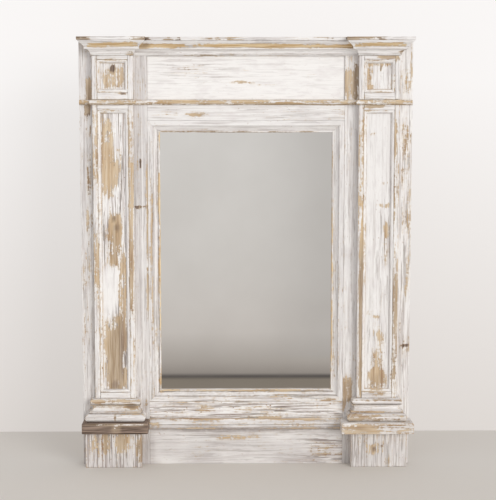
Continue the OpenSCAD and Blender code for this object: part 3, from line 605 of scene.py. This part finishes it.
# a block with its section on the front and both sides, mitred at the front corners
def threeSided(node, halfWidth, ease=0.0016, gap=0.006):
    low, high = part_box(node)
    middle, reach = (low.x + high.x) / 2, (high.x - low.x) / 2 - halfWidth
    faceY = low.y + reach
    section, arris, hollow, outward = sectionOut(node, faceY, ease, gap)
    front = section[:, 0] > 0.0002
    turn = int(np.flatnonzero(front & ~np.roll(front, 1))[0])
    order = [i for i in np.roll(np.arange(len(section)), -turn) if front[i]]
    if section[order[0], 1] > section[order[-1], 1]:
        order = order[::-1]
    rings, ringArris, ringHollow = [], [], []
    # where points stand along a side, from the back forward, closer together at both ends
    sideShare =np.concatenate([[0, 0.012, 0.035], np.linspace(0.1, 1, 10)[:-1], [0.965, 0.988]])
    frontCount = int(2 * halfWidth / gap)
    for i in order:
        out, z = section[i]
        a, y = halfWidth + out, faceY - out
        r, wide = edgeRows
        side = [(-a, high.y + (y + r - high.y) * t) for t in sideShare] + [(-a, y + r)]
        corner = [(-a + 0.3 * r, y + 0.3 * r)]
        span = np.linspace(-a + 0.008, a - 0.008, frontCount).tolist()
        span = [-a + r, -a + wide] + span + [a - wide, a - r]
        ring = side + corner + [(x, y) for x in span]
        ring += [(-x, b) for x, b in (corner + side[::-1])]
        ring = np.array(ring)
        away = np.hypot(np.abs(ring[:, 0]) - a, ring[:, 1] - y)
        ringArris.append(np.maximum(arris[i], 0.7 * np.exp(-(away / reachOf["corner"]) ** 2)))
        ringHollow.append(np.full(len(ring), hollow[i]))
        rings.append(np.column_stack([ring[:, 0] + middle, ring[:, 1], np.full(len(ring), z)]))
    return closedPart(np.array(rings), 0, np.array(ringArris), np.array(ringHollow))


# Places where a piece is worn, browned, gilded, ridged or greyed more or less than the rest of it:
# x and z in mm, half the width and half the height in mm, and the amount. Greying, hollow marks and
# some brown lines are painted shade where a comment says so, and dust, dirt and browned wood elsewhere.
# Each was picked by eye as a box on the photo; for most of them a program outside this file worked the
# box out in mm.
wornPlaces = dict(
    left_shaft_board=dict(
        bare=[(-475, 1039, 5, 144, 0.7), (-462, 1043, 8, 128, 0.6), (-448, 1039, 9, 112, 0.6),
            (-436, 990, 9, 43, 0.55), (-411, 1053, 17, 125, -0.15), (-464, 1095, 6, 16, -0.3),
            (-439, 885, 41, 33, -0.15), (-453, 885, 9, 36, 0.5), (-466, 786, 11, 23, 0.4),
            (-448, 762, 12, 86, 0.5), (-428, 772, 12, 70, 0.45), (-438, 809, 19, 46, 0.3),
            (-412, 582, 17, 121, 0.6), (-455, 600, 22, 82, -0.9), (-442, 447, 39, 54, 0.65),
            (-449, 393, 29, 54, 0.6), (-436, 329, 36, 78, 0.7), (-466, 322, 26, 31, 0.35),
            (-451, 471, 13, 24, -0.35), (-409, 359, 13, 27, -0.6), (-449, 679, 26, 22, 0.35),
            (-452, 868, 26, 32, -0.35), (-422, 1036, 9, 50, 0.45), (-460, 1145, 12, 22, 0.35),
            (-413, 622, 8, 25, -0.25)],
        brown=[(-441, 832, 6, 10, 0.6), (-433, 802, 8, 13, 0.5), (-445, 742, 9, 53, 0.3),
            (-441, 362, 34, 112, 0.4), (-426, 669, 6, 107, 0.2), (-419, 379, 6, 115, 0.35),
            (-443, 278, 10, 14, 0.4)],
        ridge=[(-455, 600, 26, 88, -0.85)]),
    right_shaft_board=dict(
        bare=[(409, 517, 13, 10, 0.5), (431, 505, 15, 8, 0.6), (431, 291, 41, 39, 0.7),
            (418, 317, 20, 20, 0.3), (434, 340, 24, 51, 0.3), (437, 422, 11, 64, 0.15),
            (440, 401, 28, 85, 0.3), (447, 440, 14, 22, 0.4), (436, 1024, 40, 179, -0.2),
            (463, 731, 14, 43, 0.4), (413, 1113, 10, 8, 0.75), (451, 952, 20, 8, 0.7),
            (448, 878, 23, 10, 0.75), (464, 801, 12, 27, 0.75), (436, 651, 43, 124, 0.15),
            (430, 425, 16, 25, -0.3)],
        brown=[(435, 286, 24, 31, 0.2)],
        ridge=[(434, 371, 38, 122, 0.4), (453, 760, 29, 200, 0.4)]),
    right_shaft_inner_strip=dict(
        bare=[(380, 532, 10, 281, 0.9), (379, 956, 14, 227, 0.35), (377, 968, 12, 45, -0.3)],
        brown=[(380, 507, 11, 256, 0.5)],
        gold=[(379, 956, 14, 227, 0.5)]),
    right_shaft_outer_strip=dict(
        bare=[(490, 483, 10, 246, 0.5), (484, 956, 8, 227, 0.3), (471, 717, 11, 480, -0.4),
            (483, 1092, 12, 65, 0.3)],
        brown=[(490, 457, 9, 206, 0.4)]),
    left_shaft_inner_strip=dict(
        bare=[(-385, 1015, 12, 169, 0.3), (-387, 646, 10, 200, 0.55), (-390, 353, 11, 93, 0.15),
            (-380, 712, 2, 472, 0.55)],
        brown=[(-387, 646, 10, 200, 0.15)]),
    left_shaft_outer_strip=dict(
        bare=[(-495, 1046, 13, 118, 0.3), (-499, 680, 13, 117, 0.25), (-495, 712, 1, 472, 0.65)],
        brown=[(-495, 712, 1, 472, 0.15)]),
    left_shaft_bead=dict(
        bare=[(-402, 717, 9, 480, -0.5)],
        dustAndShade=[(-402, 717, 9, 480, -0.15)]),
    # At x 358 to 359 the brown on the bare wood and the long greying are painted shade beside the right
    # pilaster.
    right_stile=dict(
        bare=[(337, 252, 19, 48, 0.6), (332, 1275, 15, 46, 0.6), (359, 1280, 12, 54, 0.6),
            (520, 1101, 14, 69, 0.45), (522, 807, 8, 45, 0.35), (494, 1075, 10, 10, 0.5),
            (531, 404, 19, 36, 0.4), (525, 1291, 17, 55, 0.3), (530, 404, 13, 4, 0.8),
            (533, 642, 8, 84, 0.2), (540, 882, 11, 324, 0.25), (540, 1329, 5, 57, 0.4),
            (515, 976, 10, 33, 0.3), (322, 198, 8, 20, 0.4)],
        brown=[(339, 246, 17, 41, 0.35), (332, 1272, 12, 36, 0.1), (358, 1293, 12, 67, 0.55),
            (522, 807, 6, 40, 0.3), (528, 404, 12, 5, 0.9), (534, 411, 6, 8, 0.7),
            (515, 789, 35, 401, 0.12), (322, 198, 8, 20, 0.4)],
        ridge=[(525, 718, 29, 473, 0.2)],
        dustAndShade=[(358, 786, 22, 568, 0.3), (326, 198, 10, 25, 0.8)]),
    left_stile=dict(
        bare=[(-526, 1236, 12, 65, 0.7), (-354, 871, 25, 5, 0.8), (-353, 1013, 3, 16, 0.9),
            (-534, 593, 15, 135, 0.25), (-327, 734, 8, 276, 0.68), (-347, 715, 2, 495, -0.4),
            (-522, 794, 12, 67, 0.4), (-524, 1125, 13, 26, 0.35), (-523, 977, 9, 83, 0.3),
            (-341, 199, 9, 20, 0.4)],
        brown=[(-527, 1229, 11, 65, 0.45), (-523, 1168, 7, 11, 0.9), (-368, 871, 7, 10, 1),
            (-354, 871, 25, 5, 0.7), (-353, 1013, 5, 20, 1), (-388, 496, 6, 14, 0.7),
            (-527, 1049, 11, 10, 0.5), (-327, 676, 8, 218, 0.25), (-522, 771, 9, 43, 0.4),
            (-526, 1029, 11, 135, 0.3), (-341, 199, 9, 20, 0.4)],
        ridge=[(-347, 715, 2, 495, -0.5)],
        # Along x -359 and -537 the greying is painted shade on both sides of the left pilaster; at x -517 it
        # is taken away where the rendered shadow falls, which is painted light.
        dustAndShade=[(-523, 1255, 12, 98, 0.4), (-359, 793, 22, 573, 0.3), (-537, 942, 7, 248, 0.3),
            (-517, 787, 5, 566, -0.6), (-347, 715, 2, 495, -0.6), (-341, 199, 12, 24, 0.8)]),
    left_frieze_block=dict(
        bare=[(-437, 1302, 44, 44, 0.38), (-414, 1310, 10, 36, 0.2), (-439, 1328, 5, 15, 0.7),
            (-409, 1247, 10, 8, 0.9), (-459, 1275, 10, 22, 0.3)],
        brown=[(-439, 1330, 8, 10, 1), (-407, 1245, 8, 10, 1), (-439, 1328, 5, 15, 0.8)]),
    right_frieze_block=dict(
        bare=[(432, 1343, 44, 10, 0.5), (398, 1304, 10, 49, 0.55), (466, 1272, 12, 16, 0.3),
            (458, 1364, 31, 6, 0.8), (492, 1358, 7, 11, 0.7), (453, 1337, 20, 10, 0.3),
            (434, 1327, 5, 10, 0.7), (408, 1268, 17, 13, 0.35)],
        brown=[(431, 1312, 7, 8, 0.5), (461, 1363, 28, 6, 0.35), (492, 1354, 7, 8, 0.4),
            (434, 1327, 5, 10, 0.7)]),
    frieze_board=dict(
        bare=[(-18, 1281, 66, 4, 0.75), (78, 1269, 69, 4, 0.75), (-208, 1321, 79, 33, 0.45),
            (-136, 1369, 85, 6, 0.72), (1, 1241, 321, 15, 0.2), (83, 1324, 222, 36, 0.25)],
        brown=[(-208, 1321, 79, 33, 0.5), (83, 1324, 222, 36, 0.4)],
        ridge=[(-172, 1317, 115, 42, 0.35)]),
    header_rail=dict(
        bare=[(-166, 1177, 36, 10, 0.5), (214, 1200, 107, 10, 0.2)]),
    plinth_board=dict(
        bare=[(-38, 95, 81, 11, 0.5), (259, 39, 82, 49, 0.3), (-245, 11, 84, 19, 0.1)],
        brown=[(226, 39, 115, 49, 0.3)],
        ridge=[(-228, 55, 101, 50, -0.3), (40, 60, 160, 50, -0.15), (259, 39, 82, 49, 0.6)],
        # Along z 119 to 120 the greying and hollow marks paint the shadow under the rail moulding; the
        # greying at both ends paints shade beside the plinth blocks.
        dustAndShade=[(19, 119, 361, 8, 0.6), (-326, 55, 16, 69, 0.4), (347, 53, 21, 69, 0.4)],
        hollow=[(19, 120, 361, 7, 0.8)]),
    rail_moulding=dict(
        bare=[(-166, 127, 34, 5, 0.4), (160, 151, 84, 5, 0.45), (191, 128, 40, 7, 0.35),
            (26, 155, 252, 3, 0.25), (-307, 140, 20, 7, 0.2)],
        ridge=[(19, 146, 360, 11, -0.3)],
        dustAndShade=[(19, 148, 360, 13, -0.6)],
        # At z 125 the hollow mark paints the shadow line along the moulding's foot; the negative marks at z
        # 148 keep its upper face clear of the greying.
        hollow=[(19, 148, 360, 13, -1), (19, 125, 360, 8, 0.9)]),
    lower_rail=dict(
        bare=[(-139, 192, 34, 14, 0.35), (34, 162, 76, 9, 0.3), (-244, 206, 50, 7, 0.2)],
        dustAndShade=[(316, 198, 10, 22, 0.8)],
        hollow=[(1, 205, 328, 3, 0.6), (34, 163, 295, 3, 0.4)]),
    left_base_moulding=dict(
        bare=[(-443, 169, 2, 15, 1.2), (-390, 206, 18, 12, 0.5), (-497, 223, 20, 12, 0.3),
            (-442, 230, 95, 9, 0.45), (-443, 204, 95, 7, 0.3), (-445, 167, 113, 17, -0.25)],
        brown=[(-443, 169, 2, 15, 1), (-390, 206, 18, 9, 0.5)]),
    right_base_moulding=dict(
        bare=[(434, 170, 109, 16, 0.18), (433, 228, 92, 7, 0.45)],
        brown=[(425, 168, 84, 10, 0.15), (433, 226, 92, 5, 0.3)]),
    left_plinth_cap=dict(
        bare=[(-443, 158, 119, 11, -0.75), (-436, 137, 10, 15, -0.5)],
        brown=[(-443, 158, 119, 11, -0.4), (-435, 136, 15, 14, -0.3)]),
    right_plinth_cap=dict(
        bare=[(368, 137, 58, 17, 0.55), (525, 136, 35, 17, 0.15)],
        brown=[(434, 136, 95, 14, 0.1), (357, 133, 37, 10, 0.15)]),
    left_plinth_block=dict(
        bare=[(-443, 82, 103, 40, 0.22), (-451, 50, 14, 65, -0.2), (-473, 77, 10, 38, 0.38),
            (-416, 82, 16, 32, 0.34), (-518, 84, 15, 31, 0.22), (-359, 55, 10, 39, 0.4),
            (-443, 6, 103, 21, -0.1)],
        brown=[(-473, 74, 10, 34, 0.35), (-416, 82, 16, 32, 0.3), (-359, 55, 10, 39, 0.5)]),
    right_plinth_block=dict(
        bare=[(425, 63, 29, 19, 0.4), (423, 84, 20, 12, -0.25), (469, 20, 15, 17, 0.5),
            (438, 95, 102, 24, 0.18)],
        brown=[(425, 63, 8, 9, 0.9), (445, 71, 7, 9, 0.9), (468, 18, 7, 9, 0.7)]),
    sight_frame_left=dict(
        bare=[(-291, 689, 5, 443, 0.5), (-318, 728, 2, 271, 0.6), (-319, 708, 5, 455, 0.25),
            (-310, 423, 9, 136, 0.15)],
        gold=[(-291, 689, 6, 443, 0.85)],
        dustAndShade=[(-316, 705, 8, 459, 0.45)]),
    sight_frame_right=dict(
        bare=[(282, 684, 4, 440, 0.5), (301, 472, 12, 221, 0.15)],
        brown=[(281, 959, 4, 166, 0.2)],
        gold=[(282, 684, 6, 440, 0.8)],
        dustAndShade=[(314, 709, 15, 465, 0.25)]),
    sight_frame_bottom=dict(
        bare=[(-4, 253, 290, 8, 0.55), (59, 235, 118, 7, 0.2)],
        gold=[(-227, 253, 67, 9, 0.5), (63, 252, 222, 9, 0.25)]),
    top_board=dict(
        bare=[(-534, 1421, 26, 13, 0.7), (-354, 1421, 26, 13, 0.6), (339, 1422, 18, 13, 0.5),
            (432, 1422, 16, 13, 0.35), (-137, 1417, 81, 11, 0.15), (226, 1417, 89, 11, 0.2),
            (-323, 1417, 11, 11, 0.6), (-265, 1417, 18, 11, 0.45), (-223, 1417, 8, 11, 0.6),
            (-36, 1417, 27, 11, 0.5), (386, 1422, 29, 6, 0.3), (441, 1426, 104, 2, 0.3)],
        brown=[(-534, 1421, 26, 13, 0.5), (-354, 1421, 26, 13, 0.3), (-323, 1417, 11, 11, 0.6),
            (-223, 1417, 8, 11, 0.7), (428, 1422, 20, 13, 0.4), (312, 1422, 45, 6, 0.4),
            (386, 1422, 29, 6, 0.2)]),
    centre_crown=dict(
        bare=[(-190, 1399, 10, 8, -0.35), (-258, 1399, 55, 7, 0.3), (-330, 1399, 19, 11, 0.3),
            (80, 1398, 247, 6, 0.25), (-159, 1368, 76, 3, 0.7)],
        brown=[(-333, 1399, 16, 11, 0.45), (70, 1392, 257, 3, 0.25), (-159, 1368, 76, 3, 0.5)],
        # At z 1413 the hollow mark paints a line of shade under the fascia.
        hollow=[(-3, 1413, 343, 2, 0.45)]),
    sight_frame_top=dict(
        # At z 1119 the bare and brown line paints the shadow at the glass's top edge over worn wood.
        bare=[(-8, 1119, 294, 4, 0.55)],
        brown=[(-8, 1119, 294, 4, 0.55)],
        dustAndShade=[(-4, 1150, 316, 6, 0.15)]),
    left_crown_front=dict(
        bare=[(-542, 1400, 17, 18, -1), (-339, 1401, 14, 18, -1), (-531, 1375, 16, 11, 0.5),
            (-380, 1375, 16, 6, 0.6)],
        brown=[(-531, 1375, 16, 11, 0.5), (-378, 1375, 14, 6, 0.4)]),
    right_crown_outer_return=dict(
        bare=[(529, 1404, 16, 18, 0.6), (526, 1380, 26, 22, 0.55)],
        brown=[(529, 1404, 16, 18, 0.6), (526, 1380, 26, 22, 0.4)]),
    right_crown_inner_return=dict(
        bare=[(325, 1385, 20, 21, 0.5)],
        brown=[(325, 1385, 20, 21, 0.5)]),
    right_crown_front=dict(
        bare=[(328, 1401, 16, 18, -1), (535, 1401, 16, 18, -1), (343, 1375, 15, 9, 0.8),
            (409, 1404, 30, 7, 0.35), (511, 1376, 15, 9, 0.8)],
        brown=[(343, 1375, 15, 9, 0.6), (511, 1376, 15, 9, 0.6)]),
    right_shaft_cross_strips=dict(
        bare=[(419, 1205, 31, 11, 0.6), (444, 246, 27, 9, 0.3)],
        brown=[(419, 1205, 31, 11, 0.25)]),
    left_crown_outer_return=dict(
        bare=[(-541, 1378, 32, 14, 0.6)],
        brown=[(-541, 1378, 32, 14, 0.6)]),
    right_shaft_bead=dict(
        bare=[(475, 722, 20, 474, -0.4)],
        dustAndShade=[(475, 722, 20, 474, -0.15)]),
)

pieceCount = 0
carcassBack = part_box("left_stile")[1].y
# In metres: how deep dents and worn arrises go, and how large the dents and the bites are. A bite
# is drawn out along the grain; each has a size, a seed and a share.
biteLook = dict(
    dent=0.00012, dentSize=0.022, least=0.0002, most=0.0011, alongGrain=0.35,
    bites=((0.011, 3, 0.7), (0.035, 5, 0.6)))
# Marks that a piece has all over where it doesn't say otherwise, more wear where an arris is bitten,
# greying towards the floor, dust on faces that look up, and the bare, browned back. Each pair says where
# a mark starts and where it is full: a height or a distance past the carcass's back in metres, or
# how far a face looks up, back or out, where 1 is straight that way.
markLook = dict(
    usual=dict(bare=0.0, brown=0.0, gold=0.0, ridge=0.15, dustAndShade=0.15), quirk=0.5, bitten=0.3,
    greyingNearFloor=0.55, foot=(0.19, 0.03), dust=0.3, looksUp=(0.375, 1.0),
    backBare=1.6, backBrown=0.14, looksBack=(0.4, 0.7333), hidden=(0.6, 0.1), behind=(-0.004, -0.002))
# The edge of a place: how far it wavers and in lumps of which sizes in metres, how square its corners
# are, and how far from its middle it starts and is full, where 1 is its half width or height.
placeEdge = dict(waver=0.35, sizes=(0.03, 0.041), square=2.5, fade=(1.3, 0.7))


# 0 up to where a mark starts and 1 from where it is full, rising evenly between them
def rising(values, span):
    starts, full = span
    return np.clip((values - starts) / (full - starts), 0, 1)


# Joins the parts into one piece, wears its arrises back and marks where the paint is gone. look
# holds the piece's own marks all over, how far its arrises wear, and patches as in wornPlaces.
def woodPiece(node, parts, look):
    global pieceCount
    pieceCount += 1
    sizes = np.cumsum([0] + [len(part["verts"]) for part in parts])
    verts = np.concatenate([part["verts"] for part in parts])
    faces = [tuple(i + start for i in face) for part, start in zip(parts, sizes) for face in part["faces"]]
    arris = np.concatenate([part["arris"] for part in parts])
    hollow = np.concatenate([part["hollow"] for part in parts])
    mesh = bpy.data.meshes.new(node + "_wood")
    mesh.from_pydata(verts.tolist(), [], faces)
    mesh.update()
    normals = np.empty(len(verts) * 3, np.float32)
    mesh.vertices.foreach_get("normal", normals)
    normals = normals.reshape(-1, 3).astype(float)

    local = np.concatenate([np.roll(part["verts"], -part["axis"], 1) for part in parts])
    stretched = local * (biteLook["alongGrain"], 1, 1) + pieceCount * 0.37
    dent = biteLook["dent"] * (0.5 + 0.5 * lumps(verts, biteLook["dentSize"], pieceCount))
    bite = sum(lumps(stretched, size, pieceCount + seed) * share for size, seed, share in biteLook["bites"])
    bite = np.clip(bite, 0, 1)
    wear = look.get("wear", 1.0)
    move = dent + arris * wear * (biteLook["least"] + biteLook["most"] * bite)
    verts = verts - normals * move[:, None]
    mesh.vertices.foreach_set("co", verts.astype(np.float32).ravel())

    marks = {kind: np.full(len(verts), look.get(kind, usual)) for kind, usual in markLook["usual"].items()}
    marks["arris"] = arris * look.get("arris", 1.0) + markLook["bitten"] * bite * arris
    # dirt and painted shade gathered in each hollow, and the dark line of dirt and painted shade deepest in
    # it
    marks["hollow"] = hollow * look.get("hollow", 1.0)
    marks["quirk"] = look.get("quirk", markLook["quirk"]) * hollow ** 3
    # greyer towards the floor, then dust on faces that look up
    marks["dustAndShade"] += markLook["greyingNearFloor"] * rising(verts[:, 2], markLook["foot"])
    dusty = rising(normals[:, 2], markLook["looksUp"])
    marks["dustAndShade"] += markLook["dust"] * dusty
    # never painted behind, nor on the arrises there, and browned by age
    outOrUp = np.maximum(normals[:, 0] * np.sign(verts[:, 0]), normals[:, 2])
    behind = rising(verts[:, 1] - carcassBack, markLook["behind"]) * rising(outOrUp, markLook["hidden"])
    back = np.maximum(rising(normals[:, 1], markLook["looksBack"]), behind)
    # rounded places with wavering outlines that fade out
    sway = [placeEdge["waver"] * lumps(stretched, size, pieceCount + 9) for size in placeEdge["sizes"]]
    square = placeEdge["square"]
    for kind, spots in [*look.get("patches", {}).items(), *wornPlaces.get(node, {}).items()]:
        for x, z, halfX, halfZ, amount in spots:
            awayX = (verts[:, 0] / mm - x) / halfX + sway[0]
            awayZ = (verts[:, 2] / mm - z) / halfZ + sway[1]
            away = (np.abs(awayX) ** square + np.abs(awayZ) ** square) ** (1 / square)
            marks[kind] += amount * rising(away, placeEdge["fade"]) * (1 - dusty) * (1 - back)
    marks["bare"] += markLook["backBare"] * back
    marks["brown"] += markLook["backBrown"] * back
    for kind, values in marks.items():
        mesh.attributes.new(kind, "FLOAT", "POINT").data.foreach_set("value", values.astype(np.float32))
    grain = local + np.array([1.7, 0.9, 0.4]) * pieceCount
    mesh.attributes.new("grain", "FLOAT_VECTOR", "POINT").data.foreach_set(
        "vector", grain.astype(np.float32).ravel())
    mesh.shade_smooth()
    mesh.set_sharp_from_angle(angle=math.radians(50))
    mesh.materials.append(distemper)
    piece = addToScene(node + "_wood", mesh)
    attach(piece, "frame")
    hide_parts(node)


woodPiece("left_stile", runs("left_stile", 2, gap=0.0035, step=0.006),
          dict(bare=0.1, ridge=0.4, arris=0.25, wear=0.3, dustAndShade=0.4))
woodPiece("right_stile", runs("right_stile", 2, gap=0.0035, step=0.006),
          dict(bare=0.05, ridge=0.35, arris=0.25, wear=0.3))
for side in ("left", "right"):
    woodPiece(side + "_side_board", runs(side + "_side_board", 2), dict(bare=0.25, ridge=0.5))

woodPiece("plinth_board", runs("plinth_board", 0), dict(bare=0.05, ridge=0.42, arris=0.3, wear=0.4))
woodPiece("lower_rail", runs("lower_rail", 0), dict(bare=0.2, ridge=1.05, arris=0.25, wear=0.3, dustAndShade=0.0))
woodPiece("header_rail", runs("header_rail", 0), dict(bare=0.0, ridge=0.25, arris=0.25, wear=0.3))
woodPiece("frieze_board", runs("frieze_board", 0),
          dict(bare=-0.35, ridge=0.05, arris=0.15, wear=0.3, dustAndShade=0.0))
woodPiece("cornice_rail", runs("cornice_rail", 0), dict(bare=0.3, ridge=0.5))
railLow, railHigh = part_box("rail_moulding")
# the rail moulding is greyed all over, its lower face as painted shade
woodPiece("rail_moulding", runs("rail_moulding", 0, lo=railLow.x, hi=railHigh.x, gap=0.005),
          dict(bare=0.15, ridge=0.6, dustAndShade=0.6))
print("stiles and rails ready")

for node, axis, bare, ridge, hollow in (
        ("sight_frame_left", 2, 0.05, 0.45, 0.45), ("sight_frame_right", 2, 0.0, 0.3, 0.0),
        ("sight_frame_top", 0, -0.05, 0.25, 0.1), ("sight_frame_bottom", 0, 0.2, 0.6, 0.8)):
    woodPiece(node, runs(node, axis, ease=0.0009, gap=0.005),
              dict(bare=bare, ridge=ridge, hollow=hollow, quirk=0.12, arris=0.45, wear=0.6, dustAndShade=0.15))
print("sight frame ready")

# the stepped top board, as the centre length and the two that stand forward over the pilasters
topLow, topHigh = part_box("top_board")
steps = cutOutlines("top_board", 2, (topLow.z + topHigh.z) / 2)[0]
stepX = sorted(set(round(x, 4) for x in steps[:, 0]))
centreFront = sorted(set(round(y, 4) for y in steps[:, 1]))[1]
woodPiece("top_board", [
    plank((a, y, topLow.z), (b, topHigh.y, topHigh.z), 0)
    for a, b, y in ((stepX[0], stepX[1], topLow.y), (stepX[1], stepX[2], centreFront),
                    (stepX[2], stepX[3], topLow.y))], dict(bare=-0.05, brown=0.2, ridge=0.5, arris=0.7))

# crown and astragal: one section each, mitred round both pilasters and along the centre
leftLow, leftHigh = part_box("left_cap_core")
rightLow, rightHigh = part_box("right_cap_core")
stileLow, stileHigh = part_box("left_stile")[0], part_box("right_stile")[1]
pilasterY, faceY = leftLow.y, leftHigh.y
crownSection = sectionOut("left_crown_front", pilasterY)
astragalSection = sectionOut("left_astragal_front", pilasterY)
# the gilded band of the crown runs round it at one height in mm, higher over the pilasters than
# along the centre, with a brown line along its foot that paints the shade under the band; the
# astragal has the same brown line, painted shade along its underside
allRound = 3000
crownLook, centreLook = [
    dict(bare=-0.1, ridge=0.3, arris=0.45, hollow=0.2, quirk=0.15, dustAndShade=0.0, patches=dict(
        bare=[(0, band, allRound, 7, gone)], gold=[(0, band, allRound, 11, 0.95)],
        brown=[(0, band - 5, allRound, 2, 0.3)]))
    for band, gone in ((1401, 0.8), (1397, 0.58))]
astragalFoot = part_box("centre_astragal")[0].z / mm
astragalLook = dict(bare=0.56, brown=0.12, gold=0.35, ridge=0.2, patches=dict(
    brown=[(0, astragalFoot + 2, allRound, 3, 0.35)]))
for side, low, high, outer, inner in (
        ("left", leftLow, leftHigh, -1, 1), ("right", rightLow, rightHigh, 1, -1)):
    outerX, innerX = (low.x, high.x) if side == "left" else (high.x, low.x)
    front = ((low.x, -1), (high.x, 1))
    woodPiece(side + "_crown_front", [
        mouldingRun(crownSection, 0, (pilasterY, -1), *front)], crownLook)
    woodPiece(side + "_crown_outer_return", [
        mouldingRun(crownSection, 1, (outerX, outer), (pilasterY, -1), (faceY, 0), (True, False))], crownLook)
    woodPiece(side + "_crown_inner_return", [
        mouldingRun(crownSection, 1, (innerX, inner), (pilasterY, -1), (faceY, -1))], crownLook)
    woodPiece(side + "_astragal_front", [
        mouldingRun(astragalSection, 0, (pilasterY, -1), *front)], astragalLook)
    along = ((stileLow.x, 0), (low.x, -1)) if side == "left" else ((high.x, 1), (stileHigh.x, 0))
    woodPiece(side + "_astragal_returns", [
        mouldingRun(astragalSection, 1, (innerX, inner), (pilasterY, -1), (faceY, -1)),
        mouldingRun(astragalSection, 1, (outerX, outer), (pilasterY, -1), (faceY, -1)),
        mouldingRun(astragalSection, 0, (faceY, -1), *along, (side == "right", side == "left")),
    ], astragalLook)
    woodPiece(side + "_cap_core", runs(side + "_cap_core", 2), dict(bare=0.3))
centreRun = ((leftHigh.x, 1), (rightLow.x, -1))
woodPiece("centre_crown", [mouldingRun(crownSection, 0, (faceY, -1), *centreRun)], centreLook)
woodPiece("centre_astragal", [mouldingRun(astragalSection, 0, (faceY, -1), *centreRun)], astragalLook)
print("cornice and astragal ready")

# where the two pilasters differ: the left one stripped bare or browned, its cap brown all over
pilasterLooks = dict(
    left=dict(
        block=dict(bare=0.19, ridge=1.2, arris=0.8, dustAndShade=0.0), cap=dict(bare=1.1, brown=1.0, wear=2.0),
        capSlot="brown_pine", shaft=dict(bare=0.12, ridge=0.9, dustAndShade=0.0)),
    right=dict(
        block=dict(bare=0.12, ridge=0.65, arris=0.8), cap=dict(bare=0.25, ridge=0.3),
        capSlot="painted_pine", shaft=dict(bare=-0.1, ridge=0.1)))
beadLook = dict(bare=0.22, ridge=0.2, hollow=0.3, quirk=0.1, dustAndShade=0.05, wear=0.6, arris=0.8)
pilasterHalf = (leftHigh.x - leftLow.x) / 2
for side, looks in pilasterLooks.items():
    woodPiece(side + "_plinth_block", runs(side + "_plinth_block", 2), looks["block"])
    woodPiece(side + "_plinth_cap", [threeSided(side + "_plinth_cap", pilasterHalf)],
              looks["cap"])
    woodPiece(side + "_base_moulding", [threeSided(side + "_base_moulding", pilasterHalf, 0.001, 0.004)],
              dict(bare=0.24, ridge=0.4, arris=0.9, brown=0.08))
    woodPiece(side + "_shaft_board", runs(side + "_shaft_board", 2), looks["shaft"])
    for part in ("outer", "inner"):
        node = side + "_shaft_" + part + "_strip"
        woodPiece(node, runs(node, 2, gap=0.004), dict(bare=0.1, ridge=0.3, arris=0.75))
    woodPiece(side + "_shaft_cross_strips", runs(side + "_shaft_cross_strips", 0, gap=0.004),
              dict(bare=0.05, ridge=0.3, arris=0.7))
    for part in ("shaft", "block"):
        node = side + "_" + part + "_bead"
        woodPiece(node, [
            run for axis in (0, 2) for run in runs(node, axis, 0.5, ease=0.0007, gap=0.004)], beadLook)
    low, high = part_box(side + "_frieze_block")
    panelLow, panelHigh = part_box(side + "_block_bead")
    woodPiece(side + "_frieze_block", [
        plank((low.x, panelHigh.y, low.z), high, 2),
        plank((low.x, low.y, low.z), (panelLow.x, panelHigh.y, high.z), 2, gap=0.004),
        plank((panelHigh.x, low.y, low.z), (high.x, panelHigh.y, high.z), 2, gap=0.004),
        plank((panelLow.x, low.y, low.z), (panelHigh.x, panelHigh.y, panelLow.z), 0, gap=0.004),
        plank((panelLow.x, low.y, panelHigh.z), (panelHigh.x, panelHigh.y, high.z), 0, gap=0.004),
    ], dict(bare=0.05, ridge=0.3, arris=0.8))
print("pilasters ready:", pieceCount, "wooden pieces")

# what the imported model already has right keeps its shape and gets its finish
finishes = {
    silvering: ["mirror_glass"],
    backSheet: ["backing_board"],
    battenPine: ["upper_batten", "lower_batten"],
    zinc: ["left_hanger_strap", "right_hanger_strap", "left_hanger_ring", "right_hanger_ring",
           "hanger_screws", "carcass_screws"],
}
for material, members in finishes.items():
    for node in members:
        nodes[node].data.materials.clear()
        nodes[node].data.materials.append(material)
print("glass, back and hangers ready")
